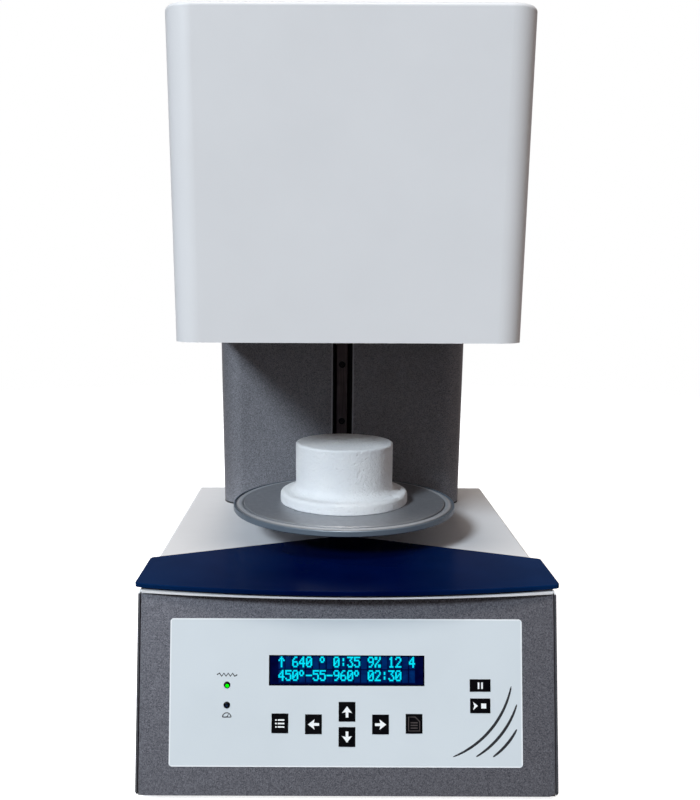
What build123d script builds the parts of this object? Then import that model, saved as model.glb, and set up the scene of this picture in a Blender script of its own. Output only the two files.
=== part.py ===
"""Dental porcelain furnace with a motor-driven firing platform.

Frame: millimetres, +Z up, X across the width, the front faces -Y. The origin lies on the floor,
straight under the lift platform's axis. The fixed head holds the muffle, the lift carries the
platform up to it, and the base holds the keypad, the electrics and the lift motor.
"""
from build123d import *
import math
import os

os.makedirs("parts", exist_ok=True)

# ---------------------------------------------------------------- driving dimensions
# base
foot_height = 8.0
base_width = 320.0
base_height = 149.0
front_reach = 154.0        # platform axis to the top of the sloping front
panel_lean = 45.0          # how much further forward the front's bottom edge stands
rear_reach = 189.0         # platform axis to the base's rear face
cover_sheet = 1.5
cover_bend = 3.0
lip_bow = 15.5             # how far the middle of the cover's front lip stands past the sloping front
lip_step = 2.5             # the same at the lip's ends
pan_sheet = 1.5
pan_rim = 14.0
seam = 0.3                 # gap between sheet parts that slide into each other

# sloping front panel, in its own plane: X across, S up the slope from the bottom edge
panel_sheet = 2.0
panel_recess = 0.5
panel_corner = 5.0
panel_side_gap = 0.8
panel_foot = 1.0
stud_radius = 3.0
overlay_width = 268.1
overlay_x = -0.85
overlay_length = 111.5
overlay_s = 78.4
overlay_thickness = 0.6
overlay_corner = 2.5

# keys
key_travel = 0.4
key_proud = 0.4
key_gap = 0.3
key_flange = 0.9
key_flange_thickness = 0.7
key_stem_radius = 1.6
key_corner = 0.8
flange_gap = 0.1           # a released key's flange lies this far under the overlay
stem_reach = 1.3           # how deep a released key's stem stands in its switch
stem_gap = 0.15
stem_spare = 0.4           # room left under a fully pressed stem
switch_body = 6.0
switch_height = 3.5
switch_gap = 0.5
board_thickness = 1.6

# display and lamps
window_width = 118.4
window_length = 23.1
window_x = -0.3
window_s = 95.0
window_border = 2.0
bezel_width = 131.0
bezel_length = 33.0
bezel_depth = 5.0
bezel_gap = 0.1
module_width = 146.0
module_length = 43.0
lamp_radius = 2.5
lamp_x = -91.3
lamp_upper_s = 83.9
lamp_lower_s = 68.8
lamp_proud = 1.0
lamp_hole_gap = 0.1

# visor plate over the front of the base
visor_overhang = 2.7       # past each side of the base
visor_thickness = 3.2
visor_pad_height = 2.3
visor_pad_radius = 5.0
visor_bow = 18.5
visor_side_length = 64.5
visor_vee = 67.0
visor_front_corner = 5.0
visor_rear_corner = 4.0
visor_edge = 0.7

# column
column_width = 250.0
column_reach = 110.0       # platform axis to the column's front face
column_depth = 77.0
column_corner = 22.0
column_sheet = 1.5
slot_width = 20.0
slot_start = 6.0           # the slot starts this far above the base
slot_hem = 10.0
back_sheet = 1.5

# linear guide and lift
hem_gap = 2.0
arm_flange_thickness = 8.0
carriage_width = 34.0
carriage_length = 56.0
carriage_height = 24.0
carriage_hole_pitch = 26.0
carriage_drop = 4.0        # lower end of the carriage below the underside of the arm
carriage_end_gap = 2.5     # between the carriage's legs and the mast
rail_width = 15.0
rail_height = 12.5
rail_land = 11.0
rail_length = 240.0
rail_hole_pitch = 60.0
rail_end = 30.0
rail_lift = 6.0            # the rail's lower end stands this far below the base top
guide_gap = 0.1
m4_radius = 2.0
m4_head_radius = 3.5
m4_head_height = 4.0
m4_seat_gap = 0.25
thread_gap = 0.05
mast_half_width = 65.0
mast_thickness = 6.0
mast_top = 470.0
mast_foot = 24.0
weld = 1.0                 # overlap of pieces welded to the mast
gusset_thickness = 4.0
gusset_height = 90.0
gusset_reach = 46.0

# platform and firing table
platform_radius = 101.6
platform_thickness = 5.6
platform_gap = 26.8        # underside of the platform above the base top
platform_flat_radius = 92.0
platform_flat_rise = 0.6
ring_outer = 98.4
ring_inner = 92.8
ring_crown = 0.9          # rise of the ring's rounded top above its edges
table_brim_radius = 58.5
table_brim_height = 10.5
table_crown_radius = 44.4
table_height = 55.0
table_fillet = 8.5
table_brim_edge = 3.0
table_foot_edge = 0.8
table_crown_edge = 1.8
arm_pad_radius = 34.0
arm_pad_height = 8.0
arm_depth = 16.0
arm_neck = 16.0
arm_root = 30.0

# lead screw and motor
screw_x = 40.0
screw_y = 130.0
screw_radius = 5.0
journal_radius = 4.0
shaft_radius = 2.5
shaft_gap = 0.05
nut_radius = 8.0
nut_flange_radius = 13.0
nut_flange_height = 4.0
nut_height = 22.0
thread_margin = 12.0       # thread left above the nut at the top of its travel
ear_thickness = 10.0
ear_half_width = 14.0
ear_rise = 12.0            # underside of the nut's ear above the underside of the arm
motor_size = 42.3
motor_height = 40.0
motor_top = 92.0
shelf_thickness = 4.0
shelf_margin = 2.0
pilot_radius = 11.0
pilot_height = 2.0
pilot_gap = 0.5
coupling_radius = 10.0
coupling_length = 24.0
bearing_height = 18.0
bearing_half_width = 12.0

# head
head_width = 265.0
head_front = 122.0         # platform axis to the head's front face
head_bottom = 342.0
head_height = 234.0
head_sheet = 1.5
head_corner = 20.0
head_rear_corner = 6.0
head_edge = 3.0
floor_recess = 2.0
floor_thickness = 3.0
floor_rim = 12.0
floor_opening_gap = 4.5

# muffle
can_radius = 100.0
can_wall = 2.5
can_flange_inner = 88.0
can_flange_outer = 112.0
can_flange_thickness = 6.0
can_height = 156.0
seal_radius = 95.6
seal_section = 2.75
seal_groove_depth = 3.0
seal_gap = 0.3
chamber_radius = 47.5
mouth_radius = 62.0
mouth_depth = 10.0
ring_height = 123.0
coil_radius = 51.5
coil_wire = 2.0
coil_pitch = 10.0
coil_turns = 8
coil_start = 20.0          # lowest turn above the chamber's mouth
coil_margin = 5.0
coil_groove = 56.0
lead_reach = 14.0          # past the can's wall, into the terminal block
lead_gap = 0.2
fibre_gap = 0.3

# ---------------------------------------------------------------- levels worked out from them
on_base = (Align.CENTER, Align.CENTER, Align.MIN)
under_base = (Align.CENTER, Align.CENTER, Align.MAX)
base_top = foot_height + base_height
front_bottom_y = -front_reach - panel_lean
half_base = base_width / 2
half_column = column_width / 2
slope_length = math.hypot(panel_lean, base_height)
lean_angle = math.atan2(panel_lean, base_height)

# outward normal of the sloping front, and the plane that its face lies in
front_normal = Vector(0, -math.cos(lean_angle), math.sin(lean_angle))
front_plane = Plane(origin=(0, front_bottom_y, foot_height), x_dir=(1, 0, 0), z_dir=front_normal)
panel_face = -panel_recess
panel_back = panel_face - panel_sheet
overlay_face = panel_face + overlay_thickness

# depth levels behind the sloping front, measured along its outward normal
flange_top = panel_face - flange_gap
flange_bottom = flange_top - key_flange_thickness
switch_top = panel_back - switch_gap
board_top = switch_top - switch_height
board_bottom = board_top - board_thickness
key_top = overlay_face + key_proud
stem_end = switch_top - stem_reach
bezel_front = panel_back - bezel_gap
bezel_back = bezel_front - bezel_depth

# guide stack behind the column's front face
arm_flange_front = column_reach + slot_hem + hem_gap
carriage_front = arm_flange_front + arm_flange_thickness
rail_front = carriage_front + carriage_height - rail_height
mast_front = rail_front + rail_height
mast_back = mast_front + mast_thickness
carriage_rear = mast_front - carriage_end_gap
column_rear = column_reach + column_depth

# heights of the lift at rest
platform_bottom = base_top + platform_gap
platform_top = platform_bottom + platform_thickness
table_bottom = platform_top + platform_flat_rise
arm_bottom = platform_bottom - arm_depth
carriage_bottom = arm_bottom - carriage_drop
carriage_middle = carriage_bottom + carriage_length / 2
ear_bottom = arm_bottom + ear_rise
rail_bottom = base_top - rail_lift

# heights in the head
head_top = head_bottom + head_height
floor_bottom = head_bottom + floor_recess
floor_top = floor_bottom + floor_thickness
flange_level = floor_top + can_flange_thickness
seal_middle = floor_top + seal_groove_depth - seal_section
seal_bottom = seal_middle - seal_section
lift_travel = seal_bottom - platform_top - seal_gap
can_top = floor_top + can_height
fibre_radius = can_radius - can_wall - fibre_gap
lead_end = can_radius + lead_reach
fibre_bottom = floor_top + fibre_gap
fibre_seat = flange_level + fibre_gap
ring_top = floor_top + ring_height
mouth_top = floor_top + mouth_depth
coil_bottom = mouth_top + coil_start
coil_top = coil_bottom + coil_turns * coil_pitch


def panel_y(depth, height):
    """Y of the surface this far behind the sloping front, at this height above the floor."""
    rise = (height - foot_height) * panel_lean / base_height
    return front_bottom_y + rise + depth / math.cos(lean_angle)


def slope_plane(level):
    """Plane parallel to the sloping front, at this level along its outward normal."""
    return front_plane.offset(level)


# ---------------------------------------------------------------- base pan
# A shallow tray whose front wall lies behind the sloping front panel. The board's spacers and the
# relay's and valve's feet stand on it.
pan_half = half_base - cover_sheet - seam
pan_rear = rear_reach - cover_sheet - seam
pan_floor = foot_height + pan_sheet
pan_rim_top = foot_height + pan_rim
panel_gap = 0.05
pan_front_depth = panel_gap - panel_back
pan_vent_slot = (60.0, 5.0)
pan_vent_pitch = 14.0
foot_inset_x = 30.0
foot_inset_front = 42.0
foot_inset_rear = 30.0
foot_stem_radius = 3.0
foot_stem_gap = 0.1
foot_spots = [
    (side * (half_base - foot_inset_x), y)
    for side in (-1, 1)
    for y in (front_bottom_y + foot_inset_front, rear_reach - foot_inset_rear)
]
board_side = 92.0          # its middle, in from the base's side
board_back = 99.0          # its middle, behind the front's top edge
board_center = (half_base - board_side, board_back - front_reach)
board_size = (130.0, 110.0)
board_inset = 6.0
board_reach = (board_size[0] / 2 - board_inset, board_size[1] / 2 - board_inset)
board_spots = [
    (board_center[0] + sx * board_reach[0], board_center[1] + sy * board_reach[1])
    for sx in (-1, 1)
    for sy in (-1, 1)
]
spacer_height = 10.0
sink_side = 65.0
sink_back = 59.0
sink_spot = (sink_side - half_base, sink_back - front_reach)
spacer_radius = 3.5

with BuildPart() as base_pan:
    with BuildSketch(Plane.YZ.offset(-pan_half)):
        with BuildLine():
            Polyline(
                (panel_y(pan_front_depth, foot_height), foot_height),
                (panel_y(pan_front_depth, pan_rim_top), pan_rim_top),
                (pan_rear, pan_rim_top),
                (pan_rear, foot_height),
                close=True,
            )
        make_face()
    extrude(amount=2 * pan_half)
    with BuildSketch(Plane.YZ.offset(-pan_half + pan_sheet)):
        with BuildLine():
            Polyline(
                (panel_y(pan_front_depth + pan_sheet, pan_floor), pan_floor),
                (panel_y(pan_front_depth + pan_sheet, pan_rim_top), pan_rim_top),
                (pan_rear - pan_sheet, pan_rim_top),
                (pan_rear - pan_sheet, pan_floor),
                close=True,
            )
        make_face()
    extrude(amount=2 * (pan_half - pan_sheet), mode=Mode.SUBTRACT)
    with BuildSketch(Plane.XY.offset(foot_height)):
        with Locations(*foot_spots):
            Circle(foot_stem_radius + foot_stem_gap)
        with Locations(sink_spot, board_center):
            with GridLocations(0, pan_vent_pitch, 1, 5):
                SlotOverall(*pan_vent_slot)
    extrude(amount=pan_sheet, mode=Mode.SUBTRACT)
    with BuildSketch(Plane.XY.offset(pan_floor)):
        with Locations(*board_spots):
            Circle(spacer_radius)
    extrude(amount=spacer_height)
base_pan.part.label = "base_pan"
export_step(base_pan.part, "parts/base_pan.step")

# ---------------------------------------------------------------- base cover
# One bent sheet, top and two sides, whose front lip bows out over the sloping front. The well
# under the column lets the mast, the lead screw and the wiring through.
well_gap = 1.5
well_half_width = mast_half_width + 2 * well_gap
well_front = screw_y - bearing_half_width - well_gap
well_ledge = 5.0
well_rear = column_rear - well_ledge
lip_end = half_base - cover_bend
lip_overlap = 4.0
lip_root = lip_overlap - front_reach
lip_corner_y = -front_reach - lip_step
hose_inset = 10.0
hose_x = hose_inset - half_column
hose_y = column_reach + 36.0
hose_radius = 4.0
hose_hole = hose_radius + 1.0
side_corner = 4.0          # cut off the cover's lower front corners
trim_overrun = 1.0

with BuildPart() as base_cover:
    with BuildSketch(Plane.XZ.offset(-rear_reach)) as cover_section:
        with Locations((0, foot_height + base_height / 2)):
            Rectangle(base_width, base_height)
        fillet(cover_section.vertices().group_by(Axis.Y)[-1], cover_bend)
        with Locations((0, foot_height + (base_height - cover_sheet) / 2)):
            Rectangle(base_width - 2 * cover_sheet, base_height - cover_sheet, mode=Mode.SUBTRACT)
    extrude(amount=rear_reach - front_bottom_y)
    with BuildSketch(Plane.YZ.offset(-half_base)):
        with BuildLine():
            Polyline(
                (front_bottom_y, foot_height),
                (-front_reach, base_top),
                (front_bottom_y - trim_overrun, base_top),
                (front_bottom_y - trim_overrun, foot_height),
                close=True,
            )
        make_face()
    extrude(amount=base_width, mode=Mode.SUBTRACT)
    with BuildSketch(Plane.YZ.offset(-half_base)):
        with BuildLine():
            Polyline(
                (front_bottom_y, foot_height),
                (front_bottom_y + side_corner, foot_height),
                (panel_y(0, foot_height + side_corner), foot_height + side_corner),
                close=True,
            )
        make_face()
    extrude(amount=base_width, mode=Mode.SUBTRACT)
    with BuildSketch(Plane.XY.offset(base_top - cover_sheet)):
        with BuildLine():
            ThreePointArc((-lip_end, lip_corner_y), (0, -front_reach - lip_bow), (lip_end, lip_corner_y))
            Polyline(
                (lip_end, lip_corner_y),
                (lip_end, lip_root),
                (-lip_end, lip_root),
                (-lip_end, lip_corner_y),
            )
        make_face()
    extrude(amount=cover_sheet)
    with BuildSketch(Plane.XY.offset(base_top - cover_sheet)):
        with Locations((0, (well_front + well_rear) / 2)):
            Rectangle(2 * well_half_width, well_rear - well_front)
        with Locations((hose_x, hose_y)):
            Circle(hose_hole)
    extrude(amount=cover_sheet, mode=Mode.SUBTRACT)
base_cover.part.label = "base_cover"
export_step(base_cover.part, "parts/base_cover.step")

# ---------------------------------------------------------------- key and lamp places
small_key = (12.2, 14.3)
pause_key = (15.3, 8.9)
start_key = (14.9, 10.6)
arrow_s = 54.6
outer_key_s = 55.2
key_pitch = 25.45
arrow_rise = 9.45
side_key_x = 101.2
pause_s = 84.1
start_s = 68.85
# X, S and face size of each key
keys = {
    "key_program": (-2 * key_pitch, outer_key_s, small_key),
    "key_left": (-key_pitch, arrow_s, small_key),
    "key_up": (0, arrow_s + arrow_rise, small_key),
    "key_down": (0, arrow_s - arrow_rise, small_key),
    "key_right": (key_pitch, arrow_s, small_key),
    "key_memory": (2 * key_pitch, outer_key_s, small_key),
    "key_pause": (side_key_x, pause_s, pause_key),
    "key_start_stop": (side_key_x, start_s, start_key),
}
lamp_spots = [(lamp_x, lamp_upper_s), (lamp_x, lamp_lower_s)]
key_board_spots = [(-108.0, 108.0), (112.0, 108.0), (-108.0, 34.0), (112.0, 34.0)]
module_stud_radius = 2.0
module_stud_inset = 3.5
module_reach = (module_width / 2 - module_stud_inset, module_length / 2 - module_stud_inset)
module_spots = [
    (window_x + sx * module_reach[0], window_s + sy * module_reach[1])
    for sx in (-1, 1)
    for sy in (-1, 1)
]

# ---------------------------------------------------------------- front panel
panel_half = half_base - cover_sheet - panel_side_gap
panel_top_s = (base_height - cover_sheet - seam) * slope_length / base_height

with BuildPart() as front_panel:
    with BuildSketch(slope_plane(panel_back)) as panel_outline:
        with Locations((0, (panel_foot + panel_top_s) / 2)):
            Rectangle(2 * panel_half, panel_top_s - panel_foot)
        fillet(panel_outline.vertices().group_by(Axis.Y)[0], panel_corner)
        for key_x, key_s, key_size in keys.values():
            with Locations((key_x, key_s)):
                Rectangle(
                    key_size[0] + 2 * (key_flange + key_gap),
                    key_size[1] + 2 * (key_flange + key_gap),
                    mode=Mode.SUBTRACT,
                )
        with Locations((window_x, window_s)):
            Rectangle(
                window_width + 2 * (window_border + seam),
                window_length + 2 * (window_border + seam),
                mode=Mode.SUBTRACT,
            )
        with Locations(*lamp_spots):
            Circle(lamp_radius + lamp_hole_gap, mode=Mode.SUBTRACT)
    extrude(amount=panel_sheet)
    with BuildSketch(slope_plane(panel_back)):
        with Locations(*key_board_spots):
            Circle(stud_radius)
    extrude(amount=-(panel_back - board_top))
    with BuildSketch(slope_plane(panel_back)):
        with Locations(*module_spots):
            Circle(module_stud_radius)
    extrude(amount=-(panel_back - bezel_back))
front_panel.part.label = "front_panel"
export_step(front_panel.part, "parts/front_panel.step")

# ---------------------------------------------------------------- keypad overlay
with BuildPart() as keypad_overlay:
    with BuildSketch(slope_plane(panel_face)):
        with Locations((overlay_x, overlay_s)):
            RectangleRounded(overlay_width, overlay_length, overlay_corner)
        for key_x, key_s, key_size in keys.values():
            with Locations((key_x, key_s)):
                Rectangle(key_size[0] + 2 * key_gap, key_size[1] + 2 * key_gap, mode=Mode.SUBTRACT)
        with Locations((window_x, window_s)):
            Rectangle(window_width, window_length, mode=Mode.SUBTRACT)
        with Locations(*lamp_spots):
            Circle(lamp_radius + lamp_hole_gap, mode=Mode.SUBTRACT)
    extrude(amount=overlay_thickness)
keypad_overlay.part.label = "keypad_overlay"
export_step(keypad_overlay.part, "parts/keypad_overlay.step")

# ---------------------------------------------------------------- keys
# Each cap is held under the overlay by its flange, and its stem enters its switch.
for key_name, (key_x, key_s, key_size) in keys.items():
    with BuildPart() as key:
        with BuildSketch(slope_plane(flange_top)):
            with Locations((key_x, key_s)):
                RectangleRounded(key_size[0], key_size[1], key_corner)
        extrude(amount=key_top - flange_top)
        with BuildSketch(slope_plane(flange_bottom)):
            with Locations((key_x, key_s)):
                Rectangle(key_size[0] + 2 * key_flange, key_size[1] + 2 * key_flange)
        extrude(amount=key_flange_thickness)
        with BuildSketch(slope_plane(stem_end)):
            with Locations((key_x, key_s)):
                Circle(key_stem_radius)
        extrude(amount=flange_bottom - stem_end)
    key.part.label = key_name
    export_step(key.part, f"parts/{key_name}.step")

# ---------------------------------------------------------------- keypad board
# One board around the display module, with a switch under each key.
board_low_s = 28.0
board_high_s = 116.0
board_left = -114.0
board_right = 118.0
board_corner = 2.0
notch_gap = 1.0
notch_low = window_s - module_length / 2 - notch_gap
stem_bore = key_stem_radius + stem_gap
stem_bore_floor = stem_end - key_travel - stem_spare

with BuildPart() as keypad_board:
    with BuildSketch(slope_plane(board_bottom)):
        with Locations(((board_left + board_right) / 2, (board_low_s + board_high_s) / 2)):
            RectangleRounded(board_right - board_left, board_high_s - board_low_s, board_corner)
        with Locations((window_x, (notch_low + board_high_s) / 2)):
            Rectangle(module_width + 2 * notch_gap, board_high_s - notch_low, mode=Mode.SUBTRACT)
    extrude(amount=board_thickness)
    with BuildSketch(slope_plane(board_top)):
        for key_x, key_s, key_size in keys.values():
            with Locations((key_x, key_s)):
                Rectangle(switch_body, switch_body)
    extrude(amount=switch_height)
    with BuildSketch(slope_plane(stem_bore_floor)):
        for key_x, key_s, key_size in keys.values():
            with Locations((key_x, key_s)):
                Circle(stem_bore)
    extrude(amount=switch_top - stem_bore_floor, mode=Mode.SUBTRACT)
keypad_board.part.label = "keypad_board"
export_step(keypad_board.part, "parts/keypad_board.step")

# ---------------------------------------------------------------- display
chip_radius = 7.0
chip_pitch = 40.0
chip_height = 2.0

with BuildPart() as display_window:
    with BuildSketch(slope_plane(panel_back)):
        with Locations((window_x, window_s)):
            Rectangle(window_width + 2 * window_border, window_length + 2 * window_border)
    extrude(amount=panel_sheet)
display_window.part.label = "display_window"
export_step(display_window.part, "parts/display_window.step")

with BuildPart() as display_module:
    with BuildSketch(slope_plane(bezel_back)):
        with Locations((window_x, window_s)):
            Rectangle(bezel_width, bezel_length)
    extrude(amount=bezel_depth)
    with BuildSketch(slope_plane(bezel_back - board_thickness)):
        with Locations((window_x, window_s)):
            Rectangle(module_width, module_length)
    extrude(amount=board_thickness)
    with BuildSketch(slope_plane(bezel_back - board_thickness)):
        with Locations((window_x, window_s)):
            with GridLocations(chip_pitch, 0, 2, 1):
                Circle(chip_radius)
    extrude(amount=-chip_height)
display_module.part.label = "display_module"
export_step(display_module.part, "parts/display_module.step")

# ---------------------------------------------------------------- status lamps
lamp_dome = 1.2
lamp_rim = 0.4
lamp_rim_height = 1.0

for lamp_name, lamp_spot in (("lamp_heat", lamp_spots[0]), ("lamp_vacuum", lamp_spots[1])):
    with BuildPart() as lamp:
        with BuildSketch(slope_plane(board_top)):
            with Locations(lamp_spot):
                Circle(lamp_radius)
        extrude(amount=overlay_face + lamp_proud - board_top)
        fillet(lamp.faces().sort_by(Axis(origin=(0, 0, 0), direction=front_normal))[-1].edges(), lamp_dome)
        with BuildSketch(slope_plane(board_top)):
            with Locations(lamp_spot):
                Circle(lamp_radius + lamp_rim)
        extrude(amount=lamp_rim_height)
    lamp.part.label = lamp_name
    export_step(lamp.part, f"parts/{lamp_name}.step")

# ---------------------------------------------------------------- visor
visor_bottom = base_top + visor_pad_height
visor_half = half_base + visor_overhang
visor_side_rear = -front_reach + visor_side_length

with BuildPart() as visor:
    with BuildSketch(Plane.XY.offset(visor_bottom)) as visor_outline:
        with BuildLine():
            ThreePointArc(
                (-visor_half, -front_reach), (0, -front_reach - visor_bow), (visor_half, -front_reach)
            )
            Polyline(
                (visor_half, -front_reach),
                (visor_half, visor_side_rear),
                (0, visor_side_rear + visor_vee),
                (-visor_half, visor_side_rear),
                (-visor_half, -front_reach),
            )
        make_face()
        fillet(visor_outline.vertices().group_by(Axis.Y)[0], visor_front_corner)
        fillet(visor_outline.vertices().group_by(Axis.Y)[-2], visor_rear_corner)
    extrude(amount=visor_thickness)
    fillet(visor.faces().sort_by(Axis.Z)[-1].edges(), visor_edge)
visor.part.label = "visor"
export_step(visor.part, "parts/visor.step")

pad_side = 13.0
pad_x = half_base - pad_side
pad_inset = 7.0
pad_spots = [
    (-pad_x, pad_inset - front_reach),
    (0, pad_inset - front_reach - lip_bow),
    (pad_x, pad_inset - front_reach),
    (-pad_x, visor_side_rear - pad_inset),
    (0, visor_side_rear + visor_vee - 3 * pad_inset),
    (pad_x, visor_side_rear - pad_inset),
]
with BuildPart() as visor_pads:
    with BuildSketch(Plane.XY.offset(base_top)):
        with Locations(*pad_spots):
            Circle(visor_pad_radius)
    extrude(amount=visor_pad_height)
visor_pads.part.label = "visor_pads"
export_step(visor_pads.part, "parts/visor_pads.step")

# ---------------------------------------------------------------- feet
# Rubber feet with a stem pushed through the pan.
foot_radius = 12.0
foot_taper = 1.5
foot_clip = 1.5            # the stem's end swells by this much, and is this high, above the pan

with BuildPart() as feet:
    with Locations(*foot_spots):
        Cone(foot_radius - foot_taper, foot_radius, foot_height, align=on_base)
        Cylinder(foot_stem_radius, foot_height + pan_sheet, align=on_base)
    with Locations(*[(x, y, pan_floor) for x, y in foot_spots]):
        Cylinder(foot_stem_radius + foot_clip, foot_clip, align=on_base)
feet.part.label = "feet"
export_step(feet.part, "parts/feet.step")

# ---------------------------------------------------------------- rear panel and its fittings
socket_side = 48.0         # inlet and switch, in from the base's side
socket_pitch = 82.0
socket_rise = 38.0
rocker_rise = 92.0
nipple_rise = 52.0
# X, Z of each fitting's centre, and the cut-out it fills
inlet_spot = (half_base - socket_side, foot_height + socket_rise)
outlet_spot = (half_base - socket_side - socket_pitch, foot_height + socket_rise)
rocker_spot = (half_base - socket_side, foot_height + rocker_rise)
nipple_spot = (hose_x, foot_height + nipple_rise)
inlet_cut = (27.4, 20.0)
rocker_cut = (15.4, 27.4)
fitting_gap = 0.2
fitting_flange = 2.0
fitting_face = (50.0, 24.0)
inlet_depth = 20.0
inlet_wall = 4.0
inlet_mouth_size = (24.2, 16.6)
inlet_mouth_corner = 4.0
inlet_pin_size = (2.0, 4.0)
inlet_pin_length = 14.0
pin_spread = 7.0
outlet_channel_outer = (25.0, 18.0)
outlet_channel_inner = (21.4, 14.0)
outlet_pin_size = (2.6, 4.6)
outlet_depth = 12.0
nipple_neck = 5.0
rear_panel_half = half_base - cover_sheet - seam
rear_panel_top = base_top - cover_sheet - seam
vent_pitch = 8.0
vent_width = 4.0
rear_vent_drop = 42.0
rear_vent_side = 40.0
rear_vent_spot = (-rear_vent_side, base_top - rear_vent_drop)
rear_vent_length = 90.0


def rear_facing(reach):
    """Plane this far behind the platform's axis that faces the rear."""
    return Plane(origin=(0, reach, 0), x_dir=(-1, 0, 0), z_dir=(0, 1, 0))


def at_rear(x, z):
    """Place on a rear-facing plane, whose own X runs opposite to the furnace's."""
    return (-x, z)


rear_plane = rear_facing(rear_reach)

with BuildPart() as rear_panel:
    with BuildSketch(rear_plane):
        with Locations((0, (foot_height + seam + rear_panel_top) / 2)):
            Rectangle(2 * rear_panel_half, rear_panel_top - foot_height - seam)
        with Locations(at_rear(*inlet_spot), at_rear(*outlet_spot)):
            Rectangle(inlet_cut[0] + 2 * fitting_gap, inlet_cut[1] + 2 * fitting_gap, mode=Mode.SUBTRACT)
        with Locations(at_rear(*rocker_spot)):
            Rectangle(rocker_cut[0] + 2 * fitting_gap, rocker_cut[1] + 2 * fitting_gap, mode=Mode.SUBTRACT)
        with Locations(at_rear(*nipple_spot)):
            Circle(nipple_neck + fitting_gap, mode=Mode.SUBTRACT)
        with Locations(at_rear(*rear_vent_spot)):
            with GridLocations(0, vent_pitch, 1, 6):
                SlotOverall(rear_vent_length, vent_width, mode=Mode.SUBTRACT)
    extrude(amount=-cover_sheet)
rear_panel.part.label = "rear_panel"
export_step(rear_panel.part, "parts/rear_panel.step")

with BuildPart() as power_inlet:
    with BuildSketch(rear_plane):
        with Locations(at_rear(*inlet_spot)):
            SlotOverall(*fitting_face)
    extrude(amount=fitting_flange)
    with BuildSketch(rear_plane):
        with Locations(at_rear(*inlet_spot)):
            Rectangle(*inlet_cut)
    extrude(amount=-inlet_depth)
    with BuildSketch(rear_plane.offset(fitting_flange)) as inlet_mouth:
        with Locations(at_rear(*inlet_spot)):
            Rectangle(*inlet_mouth_size)
        fillet(inlet_mouth.vertices().group_by(Axis.Y)[-1], inlet_mouth_corner)
    extrude(amount=inlet_wall - inlet_depth - fitting_flange, mode=Mode.SUBTRACT)
    with BuildSketch(rear_plane.offset(inlet_wall - inlet_depth)):
        with Locations(at_rear(*inlet_spot)):
            with Locations((-pin_spread, -1.5), (pin_spread, -1.5), (0, 2.5)):
                Rectangle(*inlet_pin_size)
    extrude(amount=inlet_pin_length)
power_inlet.part.label = "power_inlet"
export_step(power_inlet.part, "parts/power_inlet.step")

with BuildPart() as pump_outlet:
    with BuildSketch(rear_plane):
        with Locations(at_rear(*outlet_spot)):
            SlotOverall(*fitting_face)
    extrude(amount=fitting_flange)
    with BuildSketch(rear_plane):
        with Locations(at_rear(*outlet_spot)):
            Rectangle(*inlet_cut)
    extrude(amount=-inlet_depth)
    with BuildSketch(rear_plane.offset(fitting_flange)):
        with Locations(at_rear(*outlet_spot)):
            Rectangle(*outlet_channel_outer)
            Rectangle(*outlet_channel_inner, mode=Mode.SUBTRACT)
    extrude(amount=-outlet_depth, mode=Mode.SUBTRACT)
    with BuildSketch(rear_plane.offset(fitting_flange)):
        with Locations(at_rear(*outlet_spot)):
            with Locations((-pin_spread, -1), (pin_spread, -1), (0, 3)):
                Rectangle(*outlet_pin_size)
    extrude(amount=-outlet_depth, mode=Mode.SUBTRACT)
pump_outlet.part.label = "pump_outlet"
export_step(pump_outlet.part, "parts/pump_outlet.step")

# rocker switch: the frame snaps into the panel, the key rocks about a pin along X
rocker_depth = 12.0
rocker_wall = 1.2
rocker_pin_radius = 1.5
rocker_pin_gap = 0.06
rocker_pivot_depth = 4.0
rocker_tilt = 10.0
rocker_length = 20.0
rocker_side_gap = 0.3
rocker_floor = 1.5
rocker_rim = 2.5
rocker_rim_corner = 1.5
rocker_dip = 0.5           # the key's middle lies this far below the frame's face
rocker_horn = 1.4          # and its ends stand this far proud of it
rocker_end = 4.0
rocker_heel = (2.5, 3.5)
rocker_pivot = (rocker_spot[0], rear_reach - rocker_pivot_depth, rocker_spot[1])
rocker_inner = (rocker_cut[0] - 2 * rocker_wall, rocker_cut[1] - 2 * rocker_wall)
rocker_key_width = rocker_inner[0] - 2 * rocker_side_gap

with BuildPart() as rocker_frame:
    with BuildSketch(rear_plane):
        with Locations(at_rear(*rocker_spot)):
            RectangleRounded(
                rocker_cut[0] + 2 * rocker_rim, rocker_cut[1] + 2 * rocker_rim, rocker_rim_corner
            )
    extrude(amount=fitting_flange)
    with BuildSketch(rear_plane):
        with Locations(at_rear(*rocker_spot)):
            Rectangle(*rocker_cut)
    extrude(amount=-rocker_depth)
    with BuildSketch(rear_plane.offset(fitting_flange)):
        with Locations(at_rear(*rocker_spot)):
            Rectangle(*rocker_inner)
    extrude(amount=rocker_floor - rocker_depth - fitting_flange, mode=Mode.SUBTRACT)
    with Locations(Plane(origin=rocker_pivot, z_dir=(1, 0, 0))):
        Cylinder(rocker_pin_radius + rocker_pin_gap, rocker_cut[0], mode=Mode.SUBTRACT)
rocker_frame.part.label = "rocker_frame"
export_step(rocker_frame.part, "parts/rocker_frame.step")

# The key is drawn level about its pivot, U outward and V up, and then tilted to OFF.
rocker_outward = (0, math.cos(math.radians(rocker_tilt)), math.sin(math.radians(rocker_tilt)))
rocker_profile = Plane(origin=rocker_pivot, x_dir=rocker_outward, z_dir=(1, 0, 0))
rocker_half = rocker_length / 2
rocker_face = rocker_pivot_depth + fitting_flange

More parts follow.
